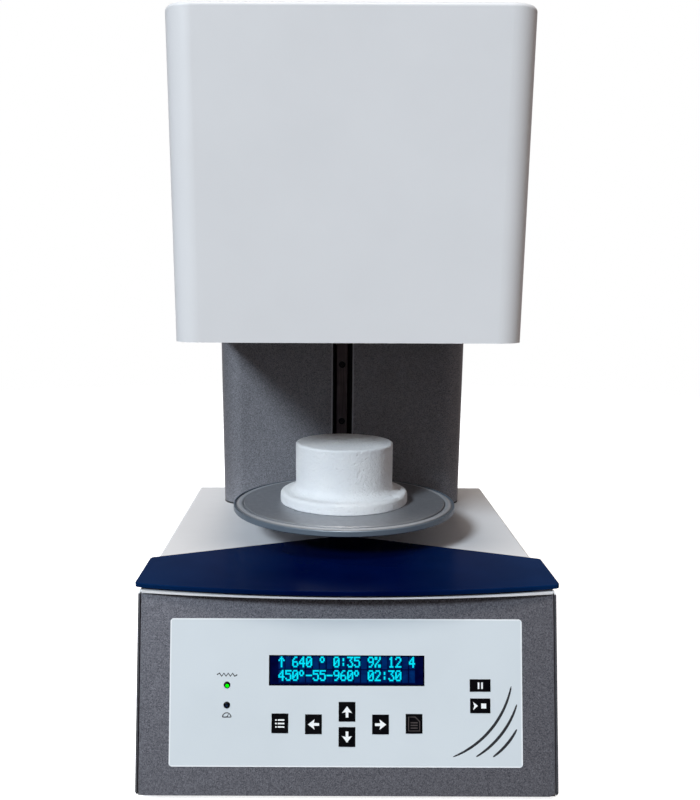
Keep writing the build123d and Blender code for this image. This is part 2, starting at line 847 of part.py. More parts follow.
with BuildPart() as rocker_key:
    with BuildSketch(rocker_profile.offset(-rocker_key_width / 2)):
        with BuildLine():
            Polyline(
                (rocker_face - rocker_dip, 0),
                (rocker_face + rocker_horn, rocker_half),
                (rocker_face + rocker_horn - rocker_end, rocker_half),
                (-rocker_heel[0], rocker_heel[1]),
                (-rocker_heel[0], -rocker_heel[1]),
                (rocker_face + rocker_horn - rocker_end, -rocker_half),
                (rocker_face + rocker_horn, -rocker_half),
                close=True,
            )
        make_face()
    extrude(amount=rocker_key_width)
    with Locations(Plane(origin=rocker_pivot, z_dir=(1, 0, 0))):
        Cylinder(rocker_pin_radius, rocker_cut[0] - fitting_gap)
rocker_key.part.label = "rocker_key"
export_step(rocker_key.part, "parts/rocker_key.step")

# vacuum port: a plain spigot with a hexagon flange outside, a neck through the panel inside
spigot_radius = 4.0
spigot_bore = 2.0
nipple_hex = 3.0
nipple_hex_radius = 8.0
spigot_length = 6.232
nipple_tip = rear_reach + nipple_hex + spigot_length
valve_size = (32.0, 32.0, 30.0)
valve_y = 154.0
valve_port_radius = 6.0
valve_port_length = 8.0
valve_port_end = valve_y + valve_size[1] / 2 + valve_port_length
valve_foot = (20.0, 24.0)
solenoid_radius = 13.0
solenoid_length = 34.0
barb_radius = 3.0
barb_length = 12.0

with BuildPart() as vacuum_nipple:
    with BuildSketch(rear_plane):
        with Locations(at_rear(*nipple_spot)):
            RegularPolygon(nipple_hex_radius, 6)
    extrude(amount=nipple_hex)
    with BuildSketch(rear_plane.offset(nipple_hex)):
        with Locations(at_rear(*nipple_spot)):
            Circle(spigot_radius)
    extrude(amount=nipple_tip - rear_reach - nipple_hex)
    with BuildSketch(rear_plane):
        with Locations(at_rear(*nipple_spot)):
            Circle(nipple_neck)
    extrude(amount=valve_port_end - rear_reach)
    with BuildSketch(rear_plane.offset(nipple_tip - rear_reach)):
        with Locations(at_rear(*nipple_spot)):
            Circle(spigot_bore)
    extrude(amount=valve_port_end - nipple_tip, mode=Mode.SUBTRACT)
vacuum_nipple.part.label = "vacuum_nipple"
export_step(vacuum_nipple.part, "parts/vacuum_nipple.step")

valve_bottom = nipple_spot[1] - valve_size[2] / 2
valve_top = nipple_spot[1] + valve_size[2] / 2
hose_start = valve_top + barb_length

with BuildPart() as vacuum_valve:
    with Locations((hose_x, valve_y, nipple_spot[1])):
        Box(*valve_size)
    with Locations((hose_x, valve_y, (pan_floor + valve_bottom) / 2)):
        Box(*valve_foot, valve_bottom - pan_floor)
    with Locations(Plane(origin=(hose_x, valve_y + valve_size[1] / 2, nipple_spot[1]), z_dir=(0, 1, 0))):
        Cylinder(valve_port_radius, valve_port_length, align=on_base)
    with Locations(Plane(origin=(hose_x, valve_y - valve_size[1] / 2, nipple_spot[1]), z_dir=(0, -1, 0))):
        Cylinder(solenoid_radius, solenoid_length, align=on_base)
    with Locations((hose_x, hose_y, valve_top)):
        Cylinder(barb_radius, barb_length, align=on_base)
vacuum_valve.part.label = "vacuum_valve"
export_step(vacuum_valve.part, "parts/vacuum_valve.step")

# ---------------------------------------------------------------- electrics on the pan
board_level = pan_floor + spacer_height
parts_level = board_level + board_thickness
# X, Y from the board's centre, then width, depth and height
board_blocks = {
    "relay_1": (-38.0, 30.0, 16.0, 19.0, 15.0),
    "relay_2": (-38.0, 0.0, 16.0, 19.0, 15.0),
    "relay_3": (-38.0, -30.0, 16.0, 19.0, 15.0),
    "processor": (10.0, -15.0, 34.0, 34.0, 3.5),
    "terminals": (52.0, 0.0, 10.0, 84.0, 12.0),
    "driver_sink": (40.0, 30.0, 5.0, 28.0, 26.0),
}
# X, Y from the board's centre, then radius and height
board_cans = [(-8.0, 30.0, 9.0, 30.0), (14.0, 30.0, 9.0, 30.0)]

with BuildPart() as control_board:
    with Locations((*board_center, board_level)):
        Box(*board_size, board_thickness, align=on_base)
    for block_x, block_y, width, depth, height in board_blocks.values():
        with Locations((board_center[0] + block_x, board_center[1] + block_y, parts_level)):
            Box(width, depth, height, align=on_base)
    for can_x, can_y, radius, height in board_cans:
        with Locations((board_center[0] + can_x, board_center[1] + can_y, parts_level)):
            Cylinder(radius, height, align=on_base)
control_board.part.label = "control_board"
export_step(control_board.part, "parts/control_board.step")

# toroid lying on the pan, held by a dished washer and its centre bolt
toroid_side = 72.0
toroid_back = 182.0
toroid_spot = (toroid_side - half_base, toroid_back - front_reach)
toroid_radius = 50.0
toroid_hole = 16.0
toroid_height = 44.0
toroid_edge = 9.0
washer_radius = 26.0
washer_thickness = 2.0
toroid_bolt_radius = 4.0
toroid_nut_radius = 5.0
toroid_nut_height = 6.0

with BuildPart() as transformer:
    with BuildSketch(Plane.XZ.offset(-toroid_spot[1])):
        with Locations((toroid_spot[0] + (toroid_radius + toroid_hole) / 2, pan_floor + toroid_height / 2)):
            RectangleRounded(toroid_radius - toroid_hole, toroid_height, toroid_edge)
    revolve(axis=Axis(origin=(*toroid_spot, 0), direction=(0, 0, 1)))
    with Locations((*toroid_spot, pan_floor + toroid_height)):
        Cylinder(washer_radius, washer_thickness, align=on_base)
        Cylinder(toroid_nut_radius, toroid_nut_height, align=on_base)
    with Locations((*toroid_spot, pan_floor)):
        Cylinder(toroid_bolt_radius, toroid_height + washer_thickness, align=on_base)
transformer.part.label = "transformer"
export_step(transformer.part, "parts/transformer.step")

sink_size = (80.0, 62.0)
sink_base = 6.0
sink_height = 30.0
fin_count = 9
fin_thickness = 2.0
relay_size = (45.0, 58.0, 23.0)
relay_screw_spread = (26.0, 46.0)
relay_screw_radius = 4.0
relay_screw_height = 3.0

with BuildPart() as relay_heatsink:
    with Locations((*sink_spot, pan_floor + sink_height - sink_base)):
        Box(*sink_size, sink_base, align=on_base)
    with Locations((*sink_spot, pan_floor)):
        with GridLocations((sink_size[0] - fin_thickness) / (fin_count - 1), 0, fin_count, 1):
            Box(fin_thickness, sink_size[1], sink_height - sink_base, align=on_base)
relay_heatsink.part.label = "relay_heatsink"
export_step(relay_heatsink.part, "parts/relay_heatsink.step")

with BuildPart() as heater_relay:
    with Locations((*sink_spot, pan_floor + sink_height)):
        Box(*relay_size, align=on_base)
    with Locations((*sink_spot, pan_floor + sink_height + relay_size[2])):
        with GridLocations(*relay_screw_spread, 2, 2):
            Cylinder(relay_screw_radius, relay_screw_height, align=on_base)
heater_relay.part.label = "heater_relay"
export_step(heater_relay.part, "parts/heater_relay.step")

# ---------------------------------------------------------------- column
column_top = floor_bottom
slot_half = slot_width / 2
column_middle_y = (column_reach + column_rear) / 2

with BuildPart() as column_shell:
    with BuildSketch(Plane.XY.offset(base_top)) as column_outline:
        with Locations((0, column_middle_y)):
            Rectangle(column_width, column_depth)
        fillet(column_outline.vertices().group_by(Axis.Y)[0], column_corner)
    extrude(amount=column_top - base_top)
    with BuildSketch(Plane.XY.offset(base_top)) as column_hollow:
        with Locations((0, column_middle_y + column_sheet)):
            Rectangle(column_width - 2 * column_sheet, column_depth)
        fillet(column_hollow.vertices().group_by(Axis.Y)[0], column_corner - column_sheet)
    extrude(amount=column_top - base_top, mode=Mode.SUBTRACT)
    with BuildSketch(Plane.XY.offset(base_top)):
        for side in (-1, 1):
            with Locations((side * (slot_half + column_sheet / 2), column_reach + slot_hem / 2)):
                Rectangle(column_sheet, slot_hem)
    extrude(amount=column_top - base_top)
    with Locations((0, column_reach + slot_hem / 2, base_top + slot_start)):
        Box(
            slot_width,
            2 * slot_hem,
            column_top - base_top - slot_start,
            align=on_base,
            mode=Mode.SUBTRACT,
        )
column_shell.part.label = "column_shell"
export_step(column_shell.part, "parts/column_shell.step")

column_back_top = head_bottom - seam
column_back_inset = 1.0
column_vent_rise = 110.0
column_vent_length = 120.0
with BuildPart() as column_back:
    with BuildSketch(rear_facing(column_rear)):
        with Locations((0, (base_top + seam + column_back_top) / 2)):
            Rectangle(column_width - 2 * column_back_inset, column_back_top - base_top - seam)
        with Locations((0, base_top + column_vent_rise)):
            with GridLocations(0, vent_pitch, 1, 8):
                SlotOverall(column_vent_length, vent_width, mode=Mode.SUBTRACT)
    extrude(amount=back_sheet)
column_back.part.label = "column_back"
export_step(column_back.part, "parts/column_back.step")

# ---------------------------------------------------------------- mast
# Upright plate with a foot on the pan, gussets under the head's load, and the motor's shelf.
rail_hole_count = round((rail_length - 2 * rail_end) / rail_hole_pitch) + 1
rail_holes = [rail_bottom + rail_end + i * rail_hole_pitch for i in range(rail_hole_count)]

with BuildPart() as mast_frame:
    with Locations((0, mast_front, pan_floor)):
        Box(
            2 * mast_half_width,
            mast_thickness,
            mast_top - pan_floor,
            align=(Align.CENTER, Align.MIN, Align.MIN),
        )
        Box(
            2 * mast_half_width,
            mast_foot,
            mast_thickness,
            align=(Align.CENTER, Align.MIN, Align.MIN),
        )
    for gusset_x in (-mast_half_width, mast_half_width - gusset_thickness):
        with BuildSketch(Plane.YZ.offset(gusset_x)):
            with BuildLine():
                Polyline(
                    (mast_front - gusset_reach, floor_top),
                    (mast_front + weld, floor_top),
                    (mast_front + weld, floor_top + gusset_height),
                    (mast_front, floor_top + gusset_height),
                    close=True,
                )
            make_face()
        extrude(amount=gusset_thickness)
    with Locations((screw_x, mast_front + weld, motor_top)):
        Box(
            motor_size + 2 * shelf_margin,
            mast_front + weld - screw_y + motor_size / 2,
            shelf_thickness,
            align=(Align.CENTER, Align.MAX, Align.MIN),
        )
    with Locations((screw_x, screw_y, motor_top)):
        Cylinder(pilot_radius + pilot_gap, shelf_thickness, align=on_base, mode=Mode.SUBTRACT)
    for hole_level in rail_holes:
        with Locations(Plane(origin=(0, mast_front, hole_level), z_dir=(0, -1, 0))):
            Hole(m4_radius + thread_gap, mast_thickness)
mast_frame.part.label = "mast_frame"
export_step(mast_frame.part, "parts/mast_frame.step")

# ---------------------------------------------------------------- linear rail and carriage
land_half = rail_land / 2
rail_half = rail_width / 2
race_depth = 1.6
race_low = 4.0             # the ball race starts this far from the mast
race_high = 9.0
rail_shoulder = 10.5
rail_side = [
    (rail_half, mast_front),
    (rail_half, mast_front - race_low),
    (rail_half - race_depth, mast_front - race_low - race_depth),
    (rail_half - race_depth, mast_front - race_high + race_depth),
    (rail_half, mast_front - race_high),
    (rail_half, mast_front - rail_shoulder),
    (land_half, rail_front),
]
rail_outline = rail_side + [(-x, y) for x, y in reversed(rail_side)]
rail_bore_depth = m4_head_height + 1.3

with BuildPart() as linear_rail:
    with BuildSketch(Plane.XY.offset(rail_bottom)):
        with BuildLine():
            Polyline(*rail_outline, close=True)
        make_face()
    extrude(amount=rail_length)
    for hole_level in rail_holes:
        with Locations(Plane(origin=(0, rail_front, hole_level), z_dir=(0, -1, 0))):
            CounterBoreHole(
                radius=m4_radius + m4_seat_gap,
                counter_bore_radius=m4_head_radius + m4_seat_gap,
                counter_bore_depth=rail_bore_depth,
                depth=rail_height,
            )
linear_rail.part.label = "linear_rail"
export_step(linear_rail.part, "parts/linear_rail.step")

rail_seat = rail_front + rail_bore_depth
hex_radius = 1.7
hex_depth = 2.2
with BuildPart() as rail_screws:
    for hole_level in rail_holes:
        with Locations(Plane(origin=(0, rail_seat, hole_level), z_dir=(0, -1, 0))):
            Cylinder(m4_head_radius, m4_head_height, align=on_base)
            Cylinder(m4_radius, mast_back - rail_seat, align=under_base)
        with BuildSketch(Plane(origin=(0, rail_seat - m4_head_height, hole_level), z_dir=(0, -1, 0))):
            RegularPolygon(hex_radius, 6)
        extrude(amount=-hex_depth, mode=Mode.SUBTRACT)
rail_screws.part.label = "rail_screws"
export_step(rail_screws.part, "parts/rail_screws.step")

carriage_holes = [
    (sx * carriage_hole_pitch / 2, carriage_middle + sz * carriage_hole_pitch / 2)
    for sx in (-1, 1)
    for sz in (-1, 1)
]
carriage_screw_length = 6.0
screw_spare = 1.0

with BuildPart() as carriage:
    with BuildSketch(Plane.XY.offset(carriage_bottom)):
        with Locations((0, (carriage_front + carriage_rear) / 2)):
            Rectangle(carriage_width, carriage_rear - carriage_front)
    extrude(amount=carriage_length)
    with BuildSketch(Plane.XY.offset(carriage_bottom)):
        with BuildLine():
            Polyline(*rail_outline, close=True)
        make_face()
        offset(amount=guide_gap, kind=Kind.INTERSECTION)
    extrude(amount=carriage_length, mode=Mode.SUBTRACT)
    for hole_x, hole_z in carriage_holes:
        with Locations(Plane(origin=(hole_x, carriage_front, hole_z), z_dir=(0, -1, 0))):
            Hole(m4_radius + thread_gap, carriage_screw_length + screw_spare)
carriage.part.label = "carriage"
export_step(carriage.part, "parts/carriage.step")

# ---------------------------------------------------------------- lift arm
# One casting: pad under the platform, beam through the slot, flange on the carriage, nut ear.
flange_margin = 3.0
flange_reach = 5.0         # on the ear's side
flange_left = -carriage_width / 2 - flange_margin
flange_right = carriage_width / 2 + flange_reach
arm_start = -8.0
neck_reach = 12.0
arm_neck_start = column_reach - neck_reach
ear_left = flange_right - weld
ear_right = screw_x + ear_half_width
ear_front = arm_flange_front
ear_rear = screw_y + ear_half_width - 2.0

with BuildPart() as lift_arm:
    with BuildSketch(Plane.XY.offset(platform_bottom - arm_pad_height)):
        Circle(arm_pad_radius)
    extrude(amount=arm_pad_height)
    with BuildSketch(Plane.XY.offset(arm_bottom)):
        with BuildLine():
            Polyline(
                (-arm_root / 2, arm_start),
                (arm_root / 2, arm_start),
                (arm_root / 2, arm_pad_radius),
                (arm_neck / 2, arm_neck_start),
                (arm_neck / 2, arm_flange_front + weld),
                (-arm_neck / 2, arm_flange_front + weld),
                (-arm_neck / 2, arm_neck_start),
                (-arm_root / 2, arm_pad_radius),
                close=True,
            )
        make_face()
    extrude(amount=arm_depth)
    with Locations(((flange_left + flange_right) / 2, arm_flange_front, carriage_bottom)):
        Box(
            flange_right - flange_left,
            arm_flange_thickness,
            carriage_length,
            align=(Align.CENTER, Align.MIN, Align.MIN),
        )
    with BuildSketch(Plane.XY.offset(ear_bottom)):
        with Locations(((ear_left + ear_right) / 2, (ear_front + ear_rear) / 2)):
            Rectangle(ear_right - ear_left, ear_rear - ear_front)
    extrude(amount=ear_thickness)
    with Locations((screw_x, screw_y, ear_bottom)):
        Cylinder(nut_radius + thread_gap, ear_thickness, align=on_base, mode=Mode.SUBTRACT)
    for hole_x, hole_z in carriage_holes:
        with Locations(Plane(origin=(hole_x, arm_flange_front, hole_z), z_dir=(0, -1, 0))):
            CounterBoreHole(
                radius=m4_radius + m4_seat_gap,
                counter_bore_radius=m4_head_radius + m4_seat_gap,
                counter_bore_depth=m4_head_height,
                depth=arm_flange_thickness,
            )
lift_arm.part.label = "lift_arm"
export_step(lift_arm.part, "parts/lift_arm.step")

arm_seat = arm_flange_front + m4_head_height
with BuildPart() as carriage_screws:
    for hole_x, hole_z in carriage_holes:
        with Locations(Plane(origin=(hole_x, arm_seat, hole_z), z_dir=(0, -1, 0))):
            Cylinder(m4_head_radius, m4_head_height, align=on_base)
            Cylinder(m4_radius, carriage_front + carriage_screw_length - arm_seat, align=under_base)
carriage_screws.part.label = "carriage_screws"
export_step(carriage_screws.part, "parts/carriage_screws.step")

# ---------------------------------------------------------------- platform
# Turned disc. Its rounded ring meets the muffle's seal, and its flat centre carries the table.
edge_chamfer = 0.6
rim_chamfer = 0.4
rim_level = platform_top - 0.6
groove_width = 2.0
groove_floor = platform_top - 1.6
ring_middle = (ring_outer + ring_inner) / 2
ring_edge = platform_top - ring_crown
flat_chamfer = 0.4
flat_groove_floor = platform_top - 1.4

with BuildPart() as platform:
    with BuildSketch(Plane.XZ):
        with BuildLine():
            Polyline(
                (0, platform_bottom),
                (platform_radius - edge_chamfer, platform_bottom),
                (platform_radius, platform_bottom + edge_chamfer),
                (platform_radius, rim_level - rim_chamfer),
                (platform_radius - rim_chamfer, rim_level),
                (ring_outer + groove_width, rim_level),
                (ring_outer + groove_width, groove_floor),
                (ring_outer, groove_floor),
                (ring_outer, ring_edge),
            )
            ThreePointArc((ring_outer, ring_edge), (ring_middle, platform_top), (ring_inner, ring_edge))
            Polyline(
                (ring_inner, ring_edge),
                (ring_inner, flat_groove_floor),
                (platform_flat_radius, flat_groove_floor),
                (platform_flat_radius, table_bottom - flat_chamfer),
                (platform_flat_radius - flat_chamfer, table_bottom),
                (0, table_bottom),
                (0, platform_bottom),
            )
        make_face()
    revolve(axis=Axis.Z)
platform.part.label = "platform"
export_step(platform.part, "parts/platform.step")

# ---------------------------------------------------------------- firing table
brim_top = table_bottom + table_brim_height
table_top = table_bottom + table_height

with BuildPart() as firing_table:
    with BuildSketch(Plane.XZ) as table_section:
        with BuildLine():
            Polyline(
                (0, table_bottom),
                (table_brim_radius, table_bottom),
                (table_brim_radius, brim_top),
                (table_crown_radius, brim_top),
                (table_crown_radius, table_top),
                (0, table_top),
                close=True,
            )
        make_face()
        brim_corners = table_section.vertices().group_by(Axis.X)[-1].sort_by(Axis.Y)
        crown_corners = table_section.vertices().group_by(Axis.X)[-2].sort_by(Axis.Y)
        fillet(brim_corners[0], table_foot_edge)
        fillet(brim_corners[-1], table_brim_edge)
        fillet(crown_corners[0], table_fillet)
        fillet(crown_corners[-1], table_crown_edge)
    revolve(axis=Axis.Z)
firing_table.part.label = "firing_table"
export_step(firing_table.part, "parts/firing_table.step")

# ---------------------------------------------------------------- lead screw drive
coupling_rise = 6.0
bearing_rise = 4.0
shoulder_gap = 1.0
coupling_bottom = motor_top + coupling_rise
coupling_top = coupling_bottom + coupling_length
lower_bearing = coupling_top + bearing_rise
thread_start = lower_bearing + bearing_height + shoulder_gap
nut_top = ear_bottom - nut_flange_height + nut_height
thread_end = nut_top + lift_travel + thread_margin
upper_bearing = thread_end + shoulder_gap
journal_end = 2.0
journal_reach = 10.0
screw_end = upper_bearing + bearing_height + journal_end
journal_start = coupling_top - journal_reach
shaft_reach = 12.0         # how far the motor's shaft stands in the coupling

with BuildPart() as lead_screw:
    with Locations((screw_x, screw_y, journal_start)):
        Cylinder(journal_radius, screw_end - journal_start, align=on_base)
    with Locations((screw_x, screw_y, thread_start)):
        Cylinder(screw_radius, thread_end - thread_start, align=on_base)
lead_screw.part.label = "lead_screw"
export_step(lead_screw.part, "parts/lead_screw.step")

with BuildPart() as lift_nut:
    with Locations((screw_x, screw_y, ear_bottom - nut_flange_height)):
        Cylinder(nut_flange_radius, nut_flange_height, align=on_base)
    with Locations((screw_x, screw_y, ear_bottom)):
        Cylinder(nut_radius, nut_height - nut_flange_height, align=on_base)
    with Locations((screw_x, screw_y, ear_bottom - nut_flange_height)):
        Cylinder(screw_radius + shaft_gap, nut_height, align=on_base, mode=Mode.SUBTRACT)
lift_nut.part.label = "lift_nut"
export_step(lift_nut.part, "parts/lift_nut.step")

with BuildPart() as screw_bearings:
    for bearing_level in (lower_bearing, upper_bearing):
        with Locations((screw_x, mast_front, bearing_level)):
            Box(
                2 * bearing_half_width,
                mast_front - screw_y + bearing_half_width,
                bearing_height,
                align=(Align.CENTER, Align.MAX, Align.MIN),
            )
        with Locations((screw_x, screw_y, bearing_level)):
            Cylinder(journal_radius + shaft_gap, bearing_height, align=on_base, mode=Mode.SUBTRACT)
screw_bearings.part.label = "screw_bearings"
export_step(screw_bearings.part, "parts/screw_bearings.step")

motor_corner = 4.0
shaft_bottom = motor_top - motor_height + 8.0
shaft_top = coupling_bottom + shaft_reach
shaft_well = shaft_bottom - 0.5
pilot_top = motor_top + pilot_height
with BuildPart() as lift_motor:
    with Locations((screw_x, screw_y, motor_top - motor_height)):
        Box(motor_size, motor_size, motor_height, align=on_base)
    chamfer(lift_motor.edges().filter_by(Axis.Z), motor_corner)
    with Locations((screw_x, screw_y, motor_top)):
        Cylinder(pilot_radius, pilot_height, align=on_base)
    with Locations((screw_x, screw_y, shaft_well)):
        Cylinder(shaft_radius + shaft_gap, pilot_top - shaft_well, align=on_base, mode=Mode.SUBTRACT)
lift_motor.part.label = "lift_motor"
export_step(lift_motor.part, "parts/lift_motor.step")

with BuildPart() as motor_shaft:
    with Locations((screw_x, screw_y, shaft_bottom)):
        Cylinder(shaft_radius, shaft_top - shaft_bottom, align=on_base)
motor_shaft.part.label = "motor_shaft"
export_step(motor_shaft.part, "parts/motor_shaft.step")

with BuildPart() as shaft_coupling:
    with Locations((screw_x, screw_y, coupling_bottom)):
        Cylinder(coupling_radius, coupling_length, align=on_base)
        Cylinder(shaft_radius + shaft_gap, coupling_length, align=on_base, mode=Mode.SUBTRACT)
    with Locations((screw_x, screw_y, journal_start)):
        Cylinder(
            journal_radius + shaft_gap,
            coupling_top - journal_start,
            align=on_base,
            mode=Mode.SUBTRACT,
        )
shaft_coupling.part.label = "shaft_coupling"
export_step(shaft_coupling.part, "parts/shaft_coupling.step")

# ---------------------------------------------------------------- head
# The hood is one box, open below and behind. The floor hangs on the mast's gussets inside it.
head_half = head_width / 2
head_middle_y = (rear_reach - head_front) / 2
head_depth = rear_reach + head_front
rear_frame_side = 14.0
rear_frame_low = 20.0
rear_frame_high = 18.0
rear_opening_half = head_half - rear_frame_side
rear_opening_low = head_bottom + rear_frame_low
rear_opening_high = head_top - rear_frame_high
top_vent_y = 90.0
top_vent_slot = (120.0, 5.0)
top_vent_pitch = 10.0

with BuildPart() as head_hood:
    with BuildSketch(Plane.XY.offset(head_bottom)) as hood_outline:
        with Locations((0, head_middle_y)):
            Rectangle(head_width, head_depth)
        fillet(hood_outline.vertices().group_by(Axis.Y)[0], head_corner)
        fillet(hood_outline.vertices().group_by(Axis.Y)[-1], head_rear_corner)
    extrude(amount=head_height)
    fillet(head_hood.faces().sort_by(Axis.Z)[-1].edges(), head_edge)
    with BuildSketch(Plane.XY.offset(head_bottom)) as hood_hollow:
        with Locations((0, head_middle_y)):
            Rectangle(head_width - 2 * head_sheet, head_depth - 2 * head_sheet)
        fillet(hood_hollow.vertices().group_by(Axis.Y)[0], head_corner - head_sheet)
        fillet(hood_hollow.vertices().group_by(Axis.Y)[-1], head_rear_corner - head_sheet)
    extrude(amount=head_height - head_sheet, mode=Mode.SUBTRACT)
    with Locations((0, rear_reach, (rear_opening_low + rear_opening_high) / 2)):
        Box(
            2 * rear_opening_half,
            4 * head_sheet,
            rear_opening_high - rear_opening_low,
            mode=Mode.SUBTRACT,
        )
    with BuildSketch(Plane.XY.offset(head_top)):
        with Locations((0, top_vent_y)):
            with GridLocations(0, top_vent_pitch, 1, 9):
                SlotOverall(*top_vent_slot)
    extrude(amount=-head_sheet, mode=Mode.SUBTRACT)
head_hood.part.label = "head_hood"
export_step(head_hood.part, "parts/head_hood.step")

back_lap = 9.0
back_corner = 3.0
back_vent_rise = 60.0
back_vent_length = 140.0
with BuildPart() as head_back:
    with BuildSketch(rear_plane):
        with Locations((0, (rear_opening_low + rear_opening_high) / 2)):
            RectangleRounded(
                2 * (rear_opening_half + back_lap),
                rear_opening_high - rear_opening_low + 2 * back_lap,
                back_corner,
            )
        with Locations((0, rear_opening_low + back_vent_rise)):
            with GridLocations(0, vent_pitch, 1, 8):
                SlotOverall(back_vent_length, vent_width, mode=Mode.SUBTRACT)
    extrude(amount=back_sheet)
head_back.part.label = "head_back"
export_step(head_back.part, "parts/head_back.step")

floor_half = head_half - head_sheet - seam
floor_front = -head_front + head_sheet + seam
floor_rear = rear_reach - head_sheet - seam
floor_corner = head_corner - head_sheet - seam
window_gap = 3.0
window_left = flange_left - 2 * window_gap
window_right = screw_x + ear_half_width + window_gap
window_front = column_reach + slot_hem - window_gap

with BuildPart() as head_floor:
    with BuildSketch(Plane.XY.offset(floor_bottom)) as floor_outline:
        with Locations((0, (floor_front + floor_rear) / 2)):
            Rectangle(2 * floor_half, floor_rear - floor_front)
        fillet(floor_outline.vertices().group_by(Axis.Y)[0], floor_corner)
        fillet(floor_outline.vertices().group_by(Axis.Y)[-1], head_rear_corner - head_sheet - seam)
    extrude(amount=floor_rim)
    with BuildSketch(Plane.XY.offset(floor_top)) as floor_hollow:
        with Locations((0, (floor_front + floor_rear) / 2)):
            Rectangle(2 * (floor_half - head_sheet), floor_rear - floor_front - 2 * head_sheet)
        fillet(floor_hollow.vertices().group_by(Axis.Y)[0], floor_corner - head_sheet)
    extrude(amount=floor_rim, mode=Mode.SUBTRACT)
    with BuildSketch(Plane.XY.offset(floor_bottom)):
        Circle(platform_radius + floor_opening_gap)
        with Locations(((window_left + window_right) / 2, (window_front + mast_front) / 2)):
            Rectangle(window_right - window_left, mast_front - window_front)
        with Locations((0, (mast_front + mast_back) / 2)):
            Rectangle(2 * (mast_half_width + seam), mast_thickness + 2 * seam)
        with Locations((hose_x, hose_y)):
            Circle(hose_hole)
    extrude(amount=floor_thickness, mode=Mode.SUBTRACT)
head_floor.part.label = "head_floor"
export_step(head_floor.part, "parts/head_floor.step")

# ---------------------------------------------------------------- muffle
# The sealed can stands on the floor. Its bottom flange holds the platform's seal.
fitting_side = 60.0
fitting_back = 50.0
fitting_spot = (-fitting_side, fitting_back)
fitting_height = 5.0
lead_hole = coil_wire + 0.6
probe_radius = 2.5
probe_gap = 0.3
probe_bore = probe_radius + probe_gap
seal_groove_half = seal_section + 0.3

with BuildPart() as muffle_can:
    with BuildSketch(Plane.XZ):
        with BuildLine():
            Polyline(
                (can_flange_inner, floor_top),
                (can_flange_outer, floor_top),
                (can_flange_outer, flange_level),
                (can_radius, flange_level),
                (can_radius, can_top),
                (probe_bore, can_top),
                (probe_bore, can_top - can_wall),
                (can_radius - can_wall, can_top - can_wall),
                (can_radius - can_wall, flange_level),
                (can_flange_inner, flange_level),
                close=True,
            )
        make_face()
        with Locations((seal_radius, floor_top + seal_groove_depth / 2)):
            Rectangle(2 * seal_groove_half, seal_groove_depth, mode=Mode.SUBTRACT)
    revolve(axis=Axis.Z)
    with Locations((*fitting_spot, can_top)):
        Cylinder(spigot_radius, fitting_height, align=on_base)
    with Locations((*fitting_spot, can_top - can_wall)):
        Cylinder(spigot_bore, fitting_height + can_wall, align=on_base, mode=Mode.SUBTRACT)
    for lead_level in (coil_bottom, coil_top):
        with Locations(Plane(origin=(0, 0, lead_level), z_dir=(1, 0, 0))):
            Cylinder(lead_hole, can_flange_outer, align=on_base, mode=Mode.SUBTRACT)
muffle_can.part.label = "muffle_can"
export_step(muffle_can.part, "parts/muffle_can.step")

with BuildPart() as can_seal:
    with BuildSketch(Plane.XZ):
        with Locations((seal_radius, seal_middle)):
            Circle(seal_section)
    revolve(axis=Axis.Z)
can_seal.part.label = "can_seal"
export_step(can_seal.part, "parts/can_seal.step")

coil_groove_low = coil_bottom - coil_margin
coil_groove_high = coil_top + coil_margin

# foot ring around the chamber's wide mouth, stepped to sit inside the can's flange
with BuildPart() as insulation_foot:
    with BuildSketch(Plane.XZ):
        with BuildLine():
            Polyline(
                (mouth_radius, fibre_bottom),
                (can_flange_inner - fibre_gap, fibre_bottom),
                (can_flange_inner - fibre_gap, fibre_seat),
                (fibre_radius, fibre_seat),
                (fibre_radius, mouth_top),
                (mouth_radius, mouth_top),
                close=True,
            )
        make_face()
    revolve(axis=Axis.Z)
insulation_foot.part.label = "insulation_foot"
export_step(insulation_foot.part, "parts/insulation_foot.step")

with BuildPart() as insulation_ring:
    with BuildSketch(Plane.XZ):
        with BuildLine():
            Polyline(
                (chamber_radius, mouth_top),
                (fibre_radius, mouth_top),
                (fibre_radius, ring_top),
                (chamber_radius, ring_top),
                (chamber_radius, coil_groove_high),
                (coil_groove, coil_groove_high),
                (coil_groove, coil_groove_low),
                (chamber_radius, coil_groove_low),
                close=True,
            )
        make_face()
    revolve(axis=Axis.Z)
    for lead_level in (coil_bottom, coil_top):
        with Locations(Plane(origin=(0, 0, lead_level), z_dir=(1, 0, 0))):
            Cylinder(lead_hole, can_radius, align=on_base, mode=Mode.SUBTRACT)
insulation_ring.part.label = "insulation_ring"
export_step(insulation_ring.part, "parts/insulation_ring.step")

cap_height = can_top - can_wall - fibre_gap - ring_top
with BuildPart() as insulation_cap:
    with Locations((0, 0, ring_top)):
        Cylinder(fibre_radius, cap_height, align=on_base)
        Cylinder(probe_bore, cap_height, align=on_base, mode=Mode.SUBTRACT)
insulation_cap.part.label = "insulation_cap"
export_step(insulation_cap.part, "parts/insulation_cap.step")

with BuildPart() as heater_coil:
    with BuildLine() as coil_path:
        Helix(
            pitch=coil_pitch,
            height=coil_turns * coil_pitch,
            radius=coil_radius,
            center=(0, 0, coil_bottom),
        )
    with BuildSketch(Plane(origin=coil_path.wire() @ 0, z_dir=coil_path.wire() % 0)):
        Circle(coil_wire)
    sweep(is_frenet=True)
    for lead_level in (coil_bottom, coil_top):
        with Locations(Plane(origin=(coil_radius, 0, lead_level), z_dir=(1, 0, 0))):
            Cylinder(coil_wire, lead_end - coil_radius, align=on_base)
        with Locations((coil_radius, 0, lead_level)):
            Sphere(coil_wire)
heater_coil.part.label = "heater_coil"
export_step(heater_coil.part, "parts/heater_coil.step")

